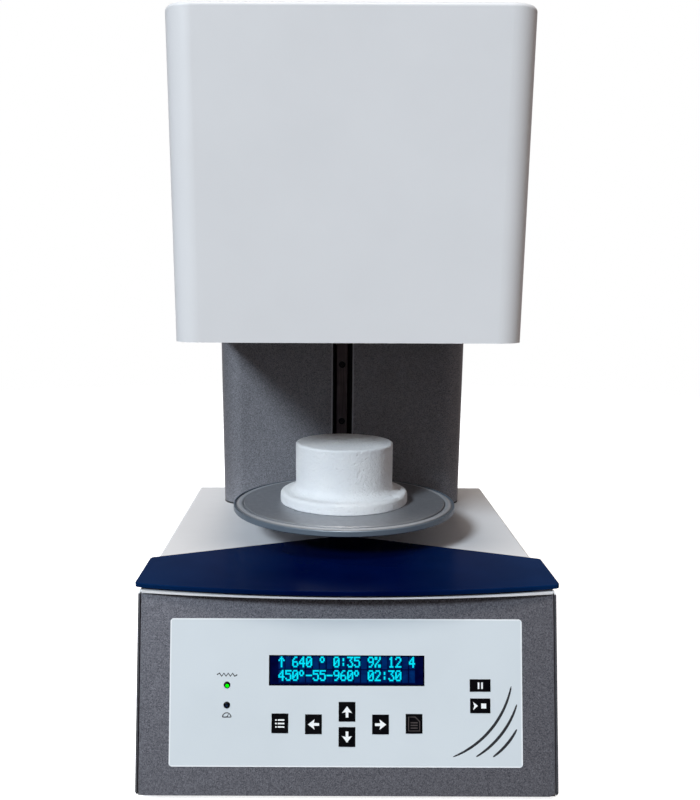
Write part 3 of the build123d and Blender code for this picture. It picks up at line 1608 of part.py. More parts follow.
probe_drop = 18.0
probe_tip = ring_top - probe_drop
probe_head_radius = 9.0
probe_head_height = 14.0
probe_post_radius = 1.5
probe_post_height = 5.0
probe_post_spread = 8.0
probe_head_top = can_top + probe_head_height
with BuildPart() as thermocouple:
    with Locations((0, 0, probe_tip)):
        Cylinder(probe_radius, probe_head_top - probe_tip, align=on_base)
    with Locations((0, 0, can_top)):
        Cylinder(probe_head_radius, probe_head_height, align=on_base)
    with Locations((0, 0, probe_head_top)):
        with GridLocations(probe_post_spread, 0, 2, 1):
            Cylinder(probe_post_radius, probe_post_height, align=on_base)
thermocouple.part.label = "thermocouple"
export_step(thermocouple.part, "parts/thermocouple.step")

block_reach = 18.0
block_overlap = 6.0
block_outer = can_radius + block_reach
block_inner = can_radius - block_overlap
block_width = 22.0
block_margin = 10.0
block_gap = 0.1
block_height = coil_top - coil_bottom + 2 * block_margin
with BuildPart() as terminal_block:
    with Locations((block_inner, 0, coil_bottom - block_margin)):
        Box(block_outer - block_inner, block_width, block_height, align=(Align.MIN, Align.CENTER, Align.MIN))
    with Locations((0, 0, coil_bottom - block_margin)):
        Cylinder(can_radius + block_gap, block_height, align=on_base, mode=Mode.SUBTRACT)
    for lead_level in (coil_bottom, coil_top):
        with Locations(Plane(origin=(0, 0, lead_level), z_dir=(1, 0, 0))):
            Cylinder(coil_wire + lead_gap, lead_end + lead_gap, align=on_base, mode=Mode.SUBTRACT)
terminal_block.part.label = "terminal_block"
export_step(terminal_block.part, "parts/terminal_block.step")

# ---------------------------------------------------------------- vacuum hose
# From the valve up through the column and over the can, down onto the can's fitting.
hose_rise = 40.0
hose_top = can_top + hose_rise
hose_route = [
    (hose_x, hose_y, hose_start),
    (hose_x, hose_y, hose_top),
    (*fitting_spot, hose_top),
    (*fitting_spot, can_top + fitting_height),
]
column_bend = 34.0
can_bend = 30.0

with BuildPart() as vacuum_hose:
    with BuildLine() as hose_path:
        FilletPolyline(*hose_route, radius=[column_bend, can_bend])
    with BuildSketch(Plane(origin=hose_path.wire() @ 0, z_dir=hose_path.wire() % 0)):
        Circle(hose_radius)
    sweep()
vacuum_hose.part.label = "vacuum_hose"
export_step(vacuum_hose.part, "parts/vacuum_hose.step")

# ---------------------------------------------------------------- case screws
# Pan-head screws of the three rear covers, each seated on its sheet.
pan_head_radius = 2.8
pan_head_height = 1.8
cross_recess = 0.8
cross_length = 3.6
cross_width = 0.8
screw_side = 8.0
screw_end_inset = 10.0


def screw_spots(reach, *levels):
    """Places of a cover's screws, at these levels down both of its sides."""
    return [(side * reach, level) for side in (-1, 1) for level in levels]


base_cover_spots = screw_spots(
    rear_panel_half - screw_side,
    foot_height + screw_end_inset,
    rear_panel_top - screw_end_inset,
)
column_cover_spots = screw_spots(
    half_column - screw_side,
    base_top + screw_end_inset,
    (base_top + head_bottom) / 2,
    head_bottom - screw_end_inset,
)
head_cover_spots = screw_spots(
    rear_opening_half + back_lap / 2,
    rear_opening_low,
    (rear_opening_low + rear_opening_high) / 2,
    rear_opening_high,
)
screw_groups = (
    (rear_reach, base_cover_spots),
    (column_rear + back_sheet, column_cover_spots),
    (rear_reach + back_sheet, head_cover_spots),
)
with BuildPart() as case_screws:
    for face_y, spots in screw_groups:
        with BuildSketch(rear_facing(face_y)):
            with Locations(*[at_rear(*spot) for spot in spots]):
                Circle(pan_head_radius)
        extrude(amount=pan_head_height)
        with BuildSketch(rear_facing(face_y + pan_head_height)):
            with Locations(*[at_rear(*spot) for spot in spots]):
                Rectangle(cross_length, cross_width)
                Rectangle(cross_width, cross_length)
        extrude(amount=-cross_recess, mode=Mode.SUBTRACT)
case_screws.part.label = "case_screws"
export_step(case_screws.part, "parts/case_screws.step")
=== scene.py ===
import math

import bmesh
import bpy
from mathutils import Matrix, Vector, noise


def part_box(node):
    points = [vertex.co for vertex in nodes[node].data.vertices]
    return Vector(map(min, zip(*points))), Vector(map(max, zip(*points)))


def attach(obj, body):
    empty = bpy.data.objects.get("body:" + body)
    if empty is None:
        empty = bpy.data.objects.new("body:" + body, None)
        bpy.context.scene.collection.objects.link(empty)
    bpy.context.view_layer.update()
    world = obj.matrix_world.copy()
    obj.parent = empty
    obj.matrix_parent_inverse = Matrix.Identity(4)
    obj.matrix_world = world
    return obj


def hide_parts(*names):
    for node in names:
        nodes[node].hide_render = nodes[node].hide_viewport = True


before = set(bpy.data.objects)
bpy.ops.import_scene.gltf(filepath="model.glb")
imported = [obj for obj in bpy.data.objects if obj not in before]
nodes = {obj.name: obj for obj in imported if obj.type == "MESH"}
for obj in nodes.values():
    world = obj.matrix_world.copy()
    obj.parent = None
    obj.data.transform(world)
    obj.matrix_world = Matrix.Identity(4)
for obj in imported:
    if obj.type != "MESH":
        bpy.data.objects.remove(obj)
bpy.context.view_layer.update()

MM = 0.001


# ---------------------------------------------------------------- where things are

def middle(node):
    """Centre of a node's box at rest."""
    low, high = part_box(node)
    return (low + high) / 2


# the sloping front: its up and outward directions, read from two keys that stand one above the other
panel_across = Vector((1, 0, 0))
panel_up = middle("key_up") - middle("key_down")
panel_up.x = 0
panel_up.normalize()
panel_out = panel_across.cross(panel_up)


def reach(node, direction):
    """Lowest and highest place of a node's corners along a direction."""
    places = [v.co.dot(direction) for v in nodes[node].data.vertices]
    return min(places), max(places)


class Face:
    """The flat front of a node on the sloping panel; drawings on it are in millimetres from its middle."""

    def __init__(self, node):
        self.left, self.right = reach(node, panel_across)
        self.bottom, self.top = reach(node, panel_up)
        self.height = reach(node, panel_out)[1]
        self.width = (self.right - self.left) / MM
        self.tall = (self.top - self.bottom) / MM

    def place(self, x, y, proud):
        """A place on the face, or proud of it along the outward direction."""
        across = (self.left + self.right) / 2 + x * MM
        up = (self.bottom + self.top) / 2 + y * MM
        return panel_across * across + panel_up * up + panel_out * (self.height + proud * MM)


# ---------------------------------------------------------------- materials

def tint(*display):
    """A display colour, 0 to 255, as the linear colour that shaders use."""
    linear = [c / 255 / 12.92 if c <= 10 else ((c / 255 + 0.055) / 1.055) ** 2.4 for c in display]
    return (*linear, 1.0)


class Graph:
    """A tree of shader nodes, built node by node."""

    def __init__(self, tree):
        self.tree = tree

    def add(self, kind, settings=(), **inputs):
        """A new node; a space in an input's name is written as an underscore."""
        node = self.tree.nodes.new("ShaderNode" + kind)
        for key, value in dict(settings).items():
            setattr(node, key, value)
        for key, value in inputs.items():
            self.feed(node.inputs[key.replace("_", " ")], value)
        return node

    def feed(self, socket, value):
        """Link an output to a socket, or set the socket to a constant."""
        if isinstance(value, bpy.types.NodeSocket):
            self.tree.links.new(value, socket)
        else:
            socket.default_value = value

    def span(self, value, low, high, start=0.0, end=1.0):
        """A value carried from start..end to low..high, and held there outside."""
        return self.add(
            "MapRange", Value=value, From_Min=start, From_Max=end, To_Min=low, To_Max=high
        ).outputs[0]

    def band(self, value, *edges):
        """1 where a value lies between the two middle edges, fading to 0 at the outer two."""
        rise, fall = self.span(value, 0.0, 1.0, *edges[:2]), self.span(value, 1.0, 0.0, *edges[2:])
        return self.maths("MULTIPLY", rise, fall)

    def maths(self, operation, first, second=0.0):
        """A calculation with one value or two."""
        node = self.add("Math", {"operation": operation})
        self.feed(node.inputs[0], first)
        self.feed(node.inputs[1], second)
        return node.outputs[0]


class Finish(Graph):
    """A node material: a Principled shader with textures in the piece's own coordinates, in metres."""

    def __init__(self, name, colour, roughness, metallic=0.0, **inputs):
        self.material = bpy.data.materials.new(name)
        self.material.use_nodes = True
        super().__init__(self.material.node_tree)
        self.shader = self.tree.nodes["Principled BSDF"]
        self.shader.inputs["Base Color"].default_value = colour
        self.shader.inputs["Roughness"].default_value = roughness
        self.shader.inputs["Metallic"].default_value = metallic
        for key, value in inputs.items():
            self.shader.inputs[key.replace("_", " ")].default_value = value
        self.spot = self.tree.nodes.new("ShaderNodeTexCoord").outputs["Object"]

    def stretched(self, size, turn=(0, 0, 0)):
        """The piece's coordinates, divided by a size along each axis after a turn."""
        turned = self.add("Mapping", {"vector_type": "TEXTURE"}, Vector=self.spot, Rotation=turn)
        return self.add("Mapping", Vector=turned.outputs[0], Scale=[1 / s for s in size]).outputs[0]

    def grain(self, size, detail=2.0, rough=0.5, turn=(0, 0, 0)):
        """Cloudy noise, 0 to 1, whose patches are about size across, or size along each axis."""
        size = (size,) * 3 if isinstance(size, float) else size
        return self.add(
            "TexNoise", Vector=self.stretched(size, turn), Scale=1.0, Detail=detail, Roughness=rough
        ).outputs[0]

    def cells(self, size, output="Color"):
        """Flakes about size across, each with a value of its own, or the distance from their middles."""
        size = (size,) * 3 if isinstance(size, float) else size
        return self.add("TexVoronoi", Vector=self.stretched(size), Scale=1.0).outputs[output]

    def mix(self, amount, first, second):
        """The first colour where the amount is 0, the second where it is 1."""
        node = self.tree.nodes.new("ShaderNodeMix")
        node.data_type = "RGBA"
        self.feed(node.inputs["Factor"], amount)
        self.feed(node.inputs[6], first)
        self.feed(node.inputs[7], second)
        return node.outputs[2]

    def colour(self, value):
        """Lay a colour over the whole piece."""
        self.feed(self.shader.inputs["Base Color"], value)
        return self

    def coat(self):
        """The colour laid so far."""
        return self.shader.inputs["Base Color"].links[0].from_socket

    def shades(self, value, first, second, start=0.3, end=0.7):
        """A mix of two colours: the first where a texture is at start, the second at end."""
        return self.mix(self.span(value, 0, 1, start, end), first, second)

    def rough(self, value, low, high, start=0.3, end=0.7):
        """Roughness over the whole piece: low where a texture is at start, high at end."""
        self.feed(self.shader.inputs["Roughness"], self.span(value, low, high, start, end))
        return self

    def relief(self, *layers):
        """Relief of the surface: pairs of a height, 0 to 1, and how deep it is in metres."""
        normal = None
        for height, depth in layers:
            bump = self.add("Bump", Height=height, Strength=1.0, Distance=depth)
            if normal is not None:
                self.tree.links.new(normal, bump.inputs["Normal"])
            normal = bump.outputs[0]
        self.tree.links.new(normal, self.shader.inputs["Normal"])
        return self

    def along(self, direction, centre=(0, 0, 0)):
        """How far a place lies from a centre along a direction."""
        offset = self.add("VectorMath", {"operation": "SUBTRACT"})
        self.feed(offset.inputs[0], self.spot)
        self.feed(offset.inputs[1], centre)
        dot = self.add("VectorMath", {"operation": "DOT_PRODUCT"})
        self.feed(dot.inputs[0], offset.outputs[0])
        self.feed(dot.inputs[1], direction)
        return dot.outputs["Value"]

    def aside(self, direction, centre=(0, 0, 0)):
        """The same distance, counted alike to both sides."""
        return self.maths("ABSOLUTE", self.along(direction, centre))

    def from_axis(self, centre, first, second):
        """Distance from an axis through centre, square to two directions."""
        squares = [self.maths("POWER", self.aside(direction, centre), 2.0) for direction in (first, second)]
        return self.maths("SQRT", self.maths("ADD", *squares))


sideways, backwards, upright = (1, 0, 0), (0, 1, 0), (0, 0, 1)
flake_size, flake_spread = 0.7 * MM, (0.15, 0.85)
cloud_spread = (0.35, 0.65)


def white_paint():
    """Powder coat on sheet steel: faint orange peel and slow drifts of shade."""
    look = Finish("white_powder_coat", tint(230, 231, 234), 0.42)
    look.colour(look.shades(look.grain(70 * MM, detail=3.0), tint(229, 230, 233), tint(232, 233, 236)))
    look.rough(look.grain(12 * MM, detail=4.0), 0.36, 0.5)
    return look.relief((look.grain(1.2 * MM), 0.03 * MM), (look.grain(0.4 * MM), 0.01 * MM))


def cover_paint():
    """The same white coat, with a painted shadow line: the sheet's edge beside the panel is painted in the
    panel's dark flake colour.
    """
    look = white_paint()
    fold_start, fold_end = 2.2 * MM, 1.8 * MM
    lip_start, lip_end = 0.8 * MM, 0.4 * MM
    panel_front = reach("front_panel", panel_out)[1]
    panel_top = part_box("front_panel")[1].z
    # painted shadow: the cover's front edges beside the panel, below the lip, are painted dark as a shadow
    # line
    folded = look.span(look.along(panel_out), 0.0, 1.0, panel_front - fold_start, panel_front - fold_end)
    below_lip = look.span(look.along(upright), 1.0, 0.0, panel_top - lip_start, panel_top - lip_end)
    grey = look.shades(look.cells(flake_size), tint(54, 54, 58), tint(78, 78, 84), *flake_spread)
    return look.colour(look.mix(look.maths("MULTIPLY", folded, below_lip), look.coat(), grey))


def flake_paint(name, dark, middle_tone, light, metallic):
    """Grey paint with coarse metal flakes, each a little lighter or darker, in a rough clear coat."""
    look = Finish(name, middle_tone, 0.45, metallic=metallic)
    flake = look.cells(flake_size)
    dust = look.span(look.grain(1.6 * MM, detail=4.0, rough=0.7), 0.0, 0.55, 0.42, 0.62)
    look.colour(look.mix(dust, look.shades(flake, dark, light, *flake_spread), middle_tone))
    look.rough(look.cells(0.5 * MM), 0.4, 0.64, 0.0, 1.0)
    return look.relief((look.grain(0.9 * MM, detail=3.0), 0.06 * MM), (flake, 0.01 * MM))


def column_paint():
    """The grey flake coat, brighter on the two folds beside the lift's slot, and darkened in a thin band
    along its foot.
    """
    look = flake_paint(
        "folded_flake_paint", tint(97, 98, 104), tint(128, 128, 134), tint(155, 155, 162), 0.35
    )
    fold_edges = (10.1 * MM, 10.4 * MM, 11.1 * MM, 11.5 * MM)
    dark_foot_band_low, dark_foot_band_high = 1.4 * MM, 1.8 * MM
    folded = look.mix(look.band(look.aside(sideways), *fold_edges), look.coat(), tint(176, 178, 184))
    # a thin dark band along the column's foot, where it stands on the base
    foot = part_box("base_cover")[1].z
    dark_foot_band = look.span(look.along(upright), 1.0, 0.0, foot + dark_foot_band_low, foot + dark_foot_band_high)
    return look.colour(look.mix(dark_foot_band, folded, tint(14, 14, 15)))


def platform_paint():
    """Turned disc under a thin grey coat: fine rings round its axis and a slight sheen."""
    look = Finish("grey_turned_disc", tint(140, 146, 152), 0.38, metallic=0.5)
    tool_step = 0.6 * MM
    bead_edges = (92.8 * MM, 94.0 * MM, 97.2 * MM, 98.4 * MM)
    rim_start, rim_end = 99.6 * MM, 100.4 * MM
    away = look.from_axis((0, 0, 0), sideways, backwards)
    rings = look.add("CombineXYZ", X=look.maths("MULTIPLY", away, 1 / tool_step)).outputs[0]
    tool_marks = look.add("TexNoise", Vector=rings, Scale=1.0, Detail=3.0).outputs[0]
    plain = look.shades(tool_marks, tint(141, 144, 150), tint(163, 166, 172))
    face = look.mix(look.band(away, *bead_edges), plain, tint(206, 209, 214))
    # painted reflection: the rim's bluish tint, laid on the disc's own grey
    rim = look.shades(tool_marks, tint(112, 126, 140), tint(124, 138, 152))
    look.colour(look.mix(look.span(away, 0.0, 1.0, rim_start, rim_end), face, rim))
    look.rough(look.grain(4 * MM, detail=3.0), 0.32, 0.48)
    return look.relief((tool_marks, 0.04 * MM))


def navy_acrylic():
    """Deep blue plastic, polished; its middle is painted darker as painted shade and its ends paler as
    painted light.
    """
    look = Finish(
        "navy_acrylic_sheet", tint(0, 9, 51), 0.2,
        Specular_IOR_Level=0.012, Specular_Tint=(0.2, 0.5, 1.0, 1.0),
    )
    lit_ends_start, lit_ends_end = 40 * MM, 150 * MM
    cloud = look.grain(45 * MM)
    # painted shade and light: the middle of the sheet darker, its two ends paler
    deep = look.shades(cloud, tint(0, 8, 48), tint(0, 11, 54), *cloud_spread)
    pale = look.shades(cloud, tint(5, 34, 74), tint(8, 38, 80), *cloud_spread)
    look.colour(look.mix(look.span(look.aside(sideways), 0.0, 1.0, lit_ends_start, lit_ends_end), deep, pale))
    look.rough(look.grain(3 * MM, detail=3.0), 0.14, 0.24)
    return look.relief((look.grain(20 * MM), 0.01 * MM), (look.grain(0.6 * MM), 0.003 * MM))


def overlay_film():
    """Matt printed film: a fine sand texture over a pale ground, with a painted highlight along its edges."""
    look = Finish("pale_overlay_film", tint(203, 211, 217), 0.5)
    ground = look.shades(look.grain(50 * MM), tint(204, 212, 218), tint(207, 215, 221), *cloud_spread)
    # painted highlight: a lighter strip along the film's four edges
    highlight_start, highlight_end = 1.3, 0.5
    sheet = Face("keypad_overlay")
    edge_highlight = []
    for direction, half in ((panel_across, sheet.width / 2), (panel_up, sheet.tall / 2)):
        away = look.aside(direction, sheet.place(0, 0, 0))
        edge_highlight.append(look.span(away, 0.0, 1.0, (half - highlight_start) * MM, (half - highlight_end) * MM))
    look.colour(look.mix(look.maths("MAXIMUM", *edge_highlight), ground, tint(232, 236, 240)))
    look.rough(look.grain(2 * MM), 0.45, 0.58)
    return look.relief((look.grain(0.35 * MM, detail=3.0), 0.02 * MM))


def moulded(name, dark, light, roughness, texture=0.5 * MM, depth=0.03 * MM, **inputs):
    """Moulded plastic or rubber: spark-eroded texture, with small drifts of shade and gloss."""
    look = Finish(name, light, roughness, **inputs)
    look.colour(look.shades(look.grain(9 * MM, detail=3.0), dark, light, *cloud_spread))
    look.rough(look.grain(2 * MM, detail=3.0), roughness - 0.07, roughness + 0.09)
    return look.relief((look.grain(texture, detail=3.0), depth))


def brushed(name, dark, light, roughness, along=(20 * MM, 0.3 * MM, 0.3 * MM)):
    """Metal with a drawn or brushed grain along one axis."""
    look = Finish(name, light, roughness, metallic=1.0)
    hair = look.grain(along, detail=4.0, rough=0.6)
    look.colour(look.shades(hair, dark, light))
    look.rough(look.grain(6 * MM, detail=4.0), roughness - 0.08, roughness + 0.14)
    return look.relief((hair, 0.02 * MM))


def cast(name, dark, light, roughness):
    """Cast metal: a fine blasted skin with darker hollows."""
    look = Finish(name, light, roughness, metallic=0.9)
    skin = look.grain(1.1 * MM, detail=5.0, rough=0.6)
    look.colour(look.shades(skin, dark, light, *cloud_spread))
    look.rough(skin, roughness - 0.1, roughness + 0.15, *cloud_spread)
    return look.relief((skin, 0.12 * MM))


def ceramic_fibre(name, dark, light, depth):
    """Pressed ceramic fibre: matted short fibres, a slanting set of scraper marks and small pits."""
    look = Finish(name, light, 0.95, Specular_IOR_Level=0.2)
    scrape_turn = -0.85
    scraped = look.grain((5 * MM, 4 * MM, 0.7 * MM), detail=3.0, turn=(0, scrape_turn, 0))
    matted = look.grain(0.7 * MM, detail=3.0, rough=0.6)
    mat = look.maths("MULTIPLY", look.maths("ADD", scraped, matted), 0.5)
    pits = look.span(look.cells(3.5 * MM, "Distance"), 0.0, 1.0, 0.05, 0.3)
    drift = look.shades(look.grain(30 * MM), dark, light, *cloud_spread)
    look.colour(look.mix(look.span(mat, 0.0, 0.4, 0.55, 0.35), drift, dark))
    lumps = look.grain(1.8 * MM, detail=4.0, rough=0.7)
    return look.relief((mat, depth), (pits, depth * 0.6), (lumps, depth * 1.5))


def glazed(name, dark, light, roughness):
    """Dense fired ceramic or quartz with a light skin gloss."""
    look = Finish(name, light, roughness, Coat_Weight=0.3, Coat_Roughness=0.25)
    look.colour(look.shades(look.grain(8 * MM, detail=4.0), dark, light, *cloud_spread))
    look.rough(look.grain(1.5 * MM), roughness - 0.06, roughness + 0.08)
    return look.relief((look.grain(0.8 * MM, detail=3.0), 0.02 * MM))


def lamp(name, rim, core, glow, centre, lens_radius):
    """Domed indicator: a dark moulded rim round a lens that glows or stays dark."""
    look = Finish(name, rim, 0.18, Specular_IOR_Level=0.15)
    fade_from, fade_to = 0.8, 1.15
    away = look.from_axis(centre, panel_across, panel_up)
    lens = look.span(away, 1.0, 0.0, lens_radius * fade_from, lens_radius * fade_to)
    mottled = look.shades(look.grain(0.9 * MM), core, rim)
    look.colour(look.mix(lens, rim, look.mix(0.7, mottled, core)))
    look.feed(look.shader.inputs["Emission Color"], core)
    look.feed(look.shader.inputs["Emission Strength"], look.maths("MULTIPLY", lens, glow))
    return look.relief((look.grain(0.6 * MM), 0.01 * MM))


def printed_ink(name, dark, light):
    """Screen-printed ink: a thin dry layer, slightly broken at the scale of the mesh."""
    look = Finish(name, light, 0.6)
    look.colour(look.shades(look.grain(0.8 * MM, detail=3.0), dark, light))
    return look.relief((look.grain(0.3 * MM), 0.01 * MM))


def glowing(name, dim, bright):
    """Backlit display layer: the light is a little stronger in some dots than in others."""
    look = Finish(name, tint(0, 0, 6), 0.3, Specular_IOR_Level=0.03, Emission_Strength=1.0)
    look.feed(look.shader.inputs["Emission Color"], look.shades(look.grain(4 * MM), dim, bright))
    return look


def circuit_board():
    """Green lacquer over copper tracks that run along the board's two directions."""
    look = Finish("green_circuit_board", tint(20, 74, 44), 0.35, Coat_Weight=0.4, Coat_Roughness=0.2)
    length, width = 30 * MM, 1.6 * MM
    tracks = [
        look.span(look.cells(size, "Distance"), 1.0, 0.0, 0.35, 0.42)
        for size in ((length, width, length), (width, length, width))
    ]
    lines = look.maths("MAXIMUM", *tracks)
    look.colour(look.mix(look.maths("MULTIPLY", lines, 0.6), tint(14, 60, 36), tint(46, 112, 62)))
    return look.relief((lines, 0.03 * MM))


def winding_tape():
    """Yellow tape lapped round the windings."""
    look = Finish("yellow_winding_tape", tint(196, 158, 60), 0.4)
    laps = look.grain((50 * MM, 50 * MM, 3.5 * MM), detail=1.0)
    look.colour(look.shades(laps, tint(172, 132, 44), tint(210, 174, 76), *cloud_spread))
    return look.relief((laps, 0.2 * MM), (look.grain(1.2 * MM), 0.03 * MM))


def clear_silicone():
    """Cloudy translucent rubber."""
    body = tint(208, 212, 214)
    look = Finish("clear_silicone_rubber", body, 0.35, Transmission_Weight=0.35, IOR=1.41)
    look.colour(look.shades(look.grain(6 * MM), body, tint(238, 240, 240)))
    return look.relief((look.grain(0.8 * MM), 0.02 * MM))


# the lit lamp's bright spot lies off its middle, towards the panel's lower right
spot_shift = 0.2 * MM
lit_radius, dark_radius = 1.25 * MM, 1.0 * MM
drawn_upright = (0.4 * MM, 0.4 * MM, 30 * MM)

finishes = {
    "white_paint": white_paint(),
    "grey_metallic_paint": flake_paint(
        "grey_flake_paint", tint(92, 94, 99), tint(121, 122, 127), tint(146, 147, 152), 0.35
    ),
    "grey_platform_paint": platform_paint(),
    "navy_acrylic": navy_acrylic(),
    "overlay_film": overlay_film(),
    "key_black": moulded("satin_black_keys", tint(4, 4, 7), tint(10, 9, 12), 0.4, Specular_IOR_Level=0.06),
    "display_lens": moulded(
        "dark_display_lens", tint(1, 1, 6), tint(3, 3, 10), 0.15, 4 * MM, 0.005 * MM,
        Specular_IOR_Level=0.05,
    ),
    "display_glass": glazed("display_glass_stack", tint(18, 30, 44), tint(26, 42, 60), 0.2),
    "lamp_green": lamp(
        "lit_green_lamp", tint(3, 4, 3), tint(0, 250, 0), 1.0,
        middle("lamp_heat") + (panel_across - panel_up) * spot_shift, lit_radius,
    ),
    "lamp_dark": lamp(
        "unlit_lamp", tint(3, 3, 5), tint(24, 38, 66), 0.0, middle("lamp_vacuum"), dark_radius
    ),
    "circuit_board": circuit_board(),
    "black_plastic": moulded("black_moulding", tint(18, 18, 19), tint(30, 30, 31), 0.48, 0.7 * MM, 0.05 * MM),
    "winding_tape": winding_tape(),
    "bright_steel": brushed("zinc_plated_steel", tint(150, 152, 156), tint(190, 192, 196), 0.34),
    "black_steel": brushed("blackened_steel", tint(36, 37, 40), tint(62, 63, 67), 0.38, drawn_upright),
    "cast_aluminium": cast("cast_aluminium_skin", tint(130, 132, 136), tint(176, 178, 182), 0.45),
    "heatsink_aluminium": brushed("extruded_heatsink", tint(150, 152, 155), tint(186, 188, 190), 0.4),
    "bronze": cast("sintered_bronze", tint(140, 100, 52), tint(186, 142, 82), 0.4),
    "nickel_brass": brushed("nickel_plated_brass", tint(176, 172, 158), tint(208, 204, 190), 0.26),
    "table_ceramic": ceramic_fibre("table_fibre", tint(245, 247, 250), tint(253, 254, 255), 0.5 * MM),
    "fibre_insulation": ceramic_fibre("muffle_fibre", tint(206, 202, 194), tint(236, 233, 226), 0.6 * MM),
    "steatite": glazed("steatite_ceramic", tint(214, 206, 190), tint(232, 226, 212), 0.4),
    "heater_quartz": glazed("heater_coil_wire", tint(92, 84, 78), tint(128, 118, 108), 0.45),
    "rubber_black": moulded("black_rubber", tint(16, 16, 16), tint(30, 30, 30), 0.7, 0.9 * MM, 0.08 * MM),
    "silicone_red": moulded(
        "red_silicone_cord", tint(134, 34, 24), tint(164, 48, 34), 0.5, 1.2 * MM, 0.04 * MM
    ),
    "silicone_clear": clear_silicone(),
}

# a few pieces whose colour differs from the others of the same kind, partly as painted shade and light
own_finishes = {
    "base_cover": cover_paint(),
    "column_shell": column_paint(),
    # painted shade: the front panel's copy of the grey flake paint, made darker than the rest to stand for
    # the shade on it
    "front_panel": flake_paint(
        "grey_flake_paint_painted_darker", tint(80, 80, 87), tint(108, 108, 116), tint(137, 137, 145), 0.7
    ),
    # painted light: the rail's black steel made lighter to make up for the shadow it sits in
    "linear_rail": brushed("black_rail_painted_lighter", tint(92, 84, 86), tint(126, 116, 119), 0.42, drawn_upright),
}

for name, node in nodes.items():
    for index, used in enumerate(node.data.materials):
        node.material_slots[index].material = own_finishes.get(name, finishes[used.name]).material


# ---------------------------------------------------------------- drawings on the panel

def prism(into, face, outline, base, top):
    """A closed thin plate with an outline in millimetres, standing from base to top over a panel face."""
    lower = [into.verts.new(face.place(x, y, base)) for x, y in outline]
    upper = [into.verts.new(face.place(x, y, top)) for x, y in outline]
    into.faces.new(upper)
    into.faces.new(lower[::-1])
    for i in range(len(outline)):
        j = (i + 1) % len(outline)
        into.faces.new((lower[i], lower[j], upper[j], upper[i]))


def piece(name, mesh, finish):
    """An object in the scene made from a mesh and a finish; the mesh is used up."""
    data = bpy.data.meshes.new(name)
    mesh.to_mesh(data)
    mesh.free()
    data.materials.append(finish.material)
    made = bpy.data.objects.new(name, data)
    bpy.context.scene.collection.objects.link(made)
    return made


def drawing(name, face, outlines, finish, body, base=-0.02, top=0.03):
    """One object made of thin plates on a panel face; it rides on a body."""
    mesh = bmesh.new()
    for outline in outlines:
        prism(mesh, face, counter_clockwise(outline), base, top)
    bmesh.ops.triangulate(mesh, faces=[side for side in mesh.faces if len(side.verts) > 4])
    made = piece(name, mesh, finish)
    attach(made, body)


def counter_clockwise(outline):
    """The outline, turned round if it runs clockwise."""
    area = sum(a[0] * b[1] - b[0] * a[1] for a, b in zip(outline, outline[1:] + outline[:1]))
    return outline if area > 0 else outline[::-1]


def rectangle(x, y, width, height):
    """Corners of a rectangle round a middle."""
    left, right = x - width / 2, x + width / 2
    low, high = y - height / 2, y + height / 2
    return [(left, low), (right, low), (right, high), (left, high)]


def turned(outline, degrees):
    """The outline, turned about the face's middle."""
    cos, sin = math.cos(math.radians(degrees)), math.sin(math.radians(degrees))
    return [(x * cos - y * sin, x * sin + y * cos) for x, y in outline]


def stroke(path, width, closed=False):
    """The plates of a line along a path, with one width or a width for each point."""
    widths = width if isinstance(width, list) else [width] * len(path)
    sides = []
    for i, (x, y) in enumerate(path):
        before = path[i - 1] if i or closed else path[i]
        after = path[(i + 1) % len(path)] if i + 1 < len(path) or closed else path[i]
        along = Vector((after[0] - before[0], after[1] - before[1])).normalized() * widths[i] / 2
        sides.append(((x - along.y, y + along.x), (x + along.y, y - along.x)))
    if closed:
        pairs = zip(sides, sides[1:] + sides[:1])
        return [[a[0], b[0], b[1], a[1]] for a, b in pairs]
    return [[a[0], b[0], b[1], a[1]] for a, b in zip(sides, sides[1:])]


white_ink = printed_ink("white_ink", tint(226, 230, 232), tint(246, 248, 250))
dim_ink = printed_ink("smoke_ink", tint(52, 46, 46), tint(70, 62, 62))
dark_ink = printed_ink("dark_ink", tint(24, 24, 30), tint(40, 40, 46))

# an arrow that points right, in convex pieces: the shaft with its nose, and the head's two halves
arrow_length, arrow_half = 8.5, 3.9
shaft_half = 1.05
barb_x, notch_x, tip_x = -0.85, 0.0, arrow_length / 2
nose_x = notch_x + (barb_x - notch_x) * shaft_half / arrow_half
arrow = [
    [
        (-tip_x, -shaft_half), (nose_x, -shaft_half), (notch_x, 0),
        (nose_x, shaft_half), (-tip_x, shaft_half),
    ],
    [(tip_x, 0), (barb_x, arrow_half), (notch_x, 0)],
    [(tip_x, 0), (notch_x, 0), (barb_x, -arrow_half)],
]
for way, degrees in (("right", 0), ("up", 90), ("left", 180), ("down", 270)):
    key = "key_" + way
    pieces = [turned(outline, degrees) for outline in arrow]
    drawing(key + "_arrow", Face(key), pieces, white_ink, "body_" + way)

# three menu lines, each with a dot before it, on the first key
menu_rows, menu_weight = (2.6, 0, -2.6), 1.1
menu_line_x, menu_line_length = 0.9, 5.0
menu_dot_x, menu_dot_length = -3.0, 1.2
menu_lines = [rectangle(menu_line_x, y, menu_line_length, menu_weight) for y in menu_rows]
menu_dots = [rectangle(menu_dot_x, y, menu_dot_length, menu_weight) for y in menu_rows]
drawing(
    "key_program_menu", Face("key_program"), menu_lines + menu_dots, white_ink, "body_program"
)

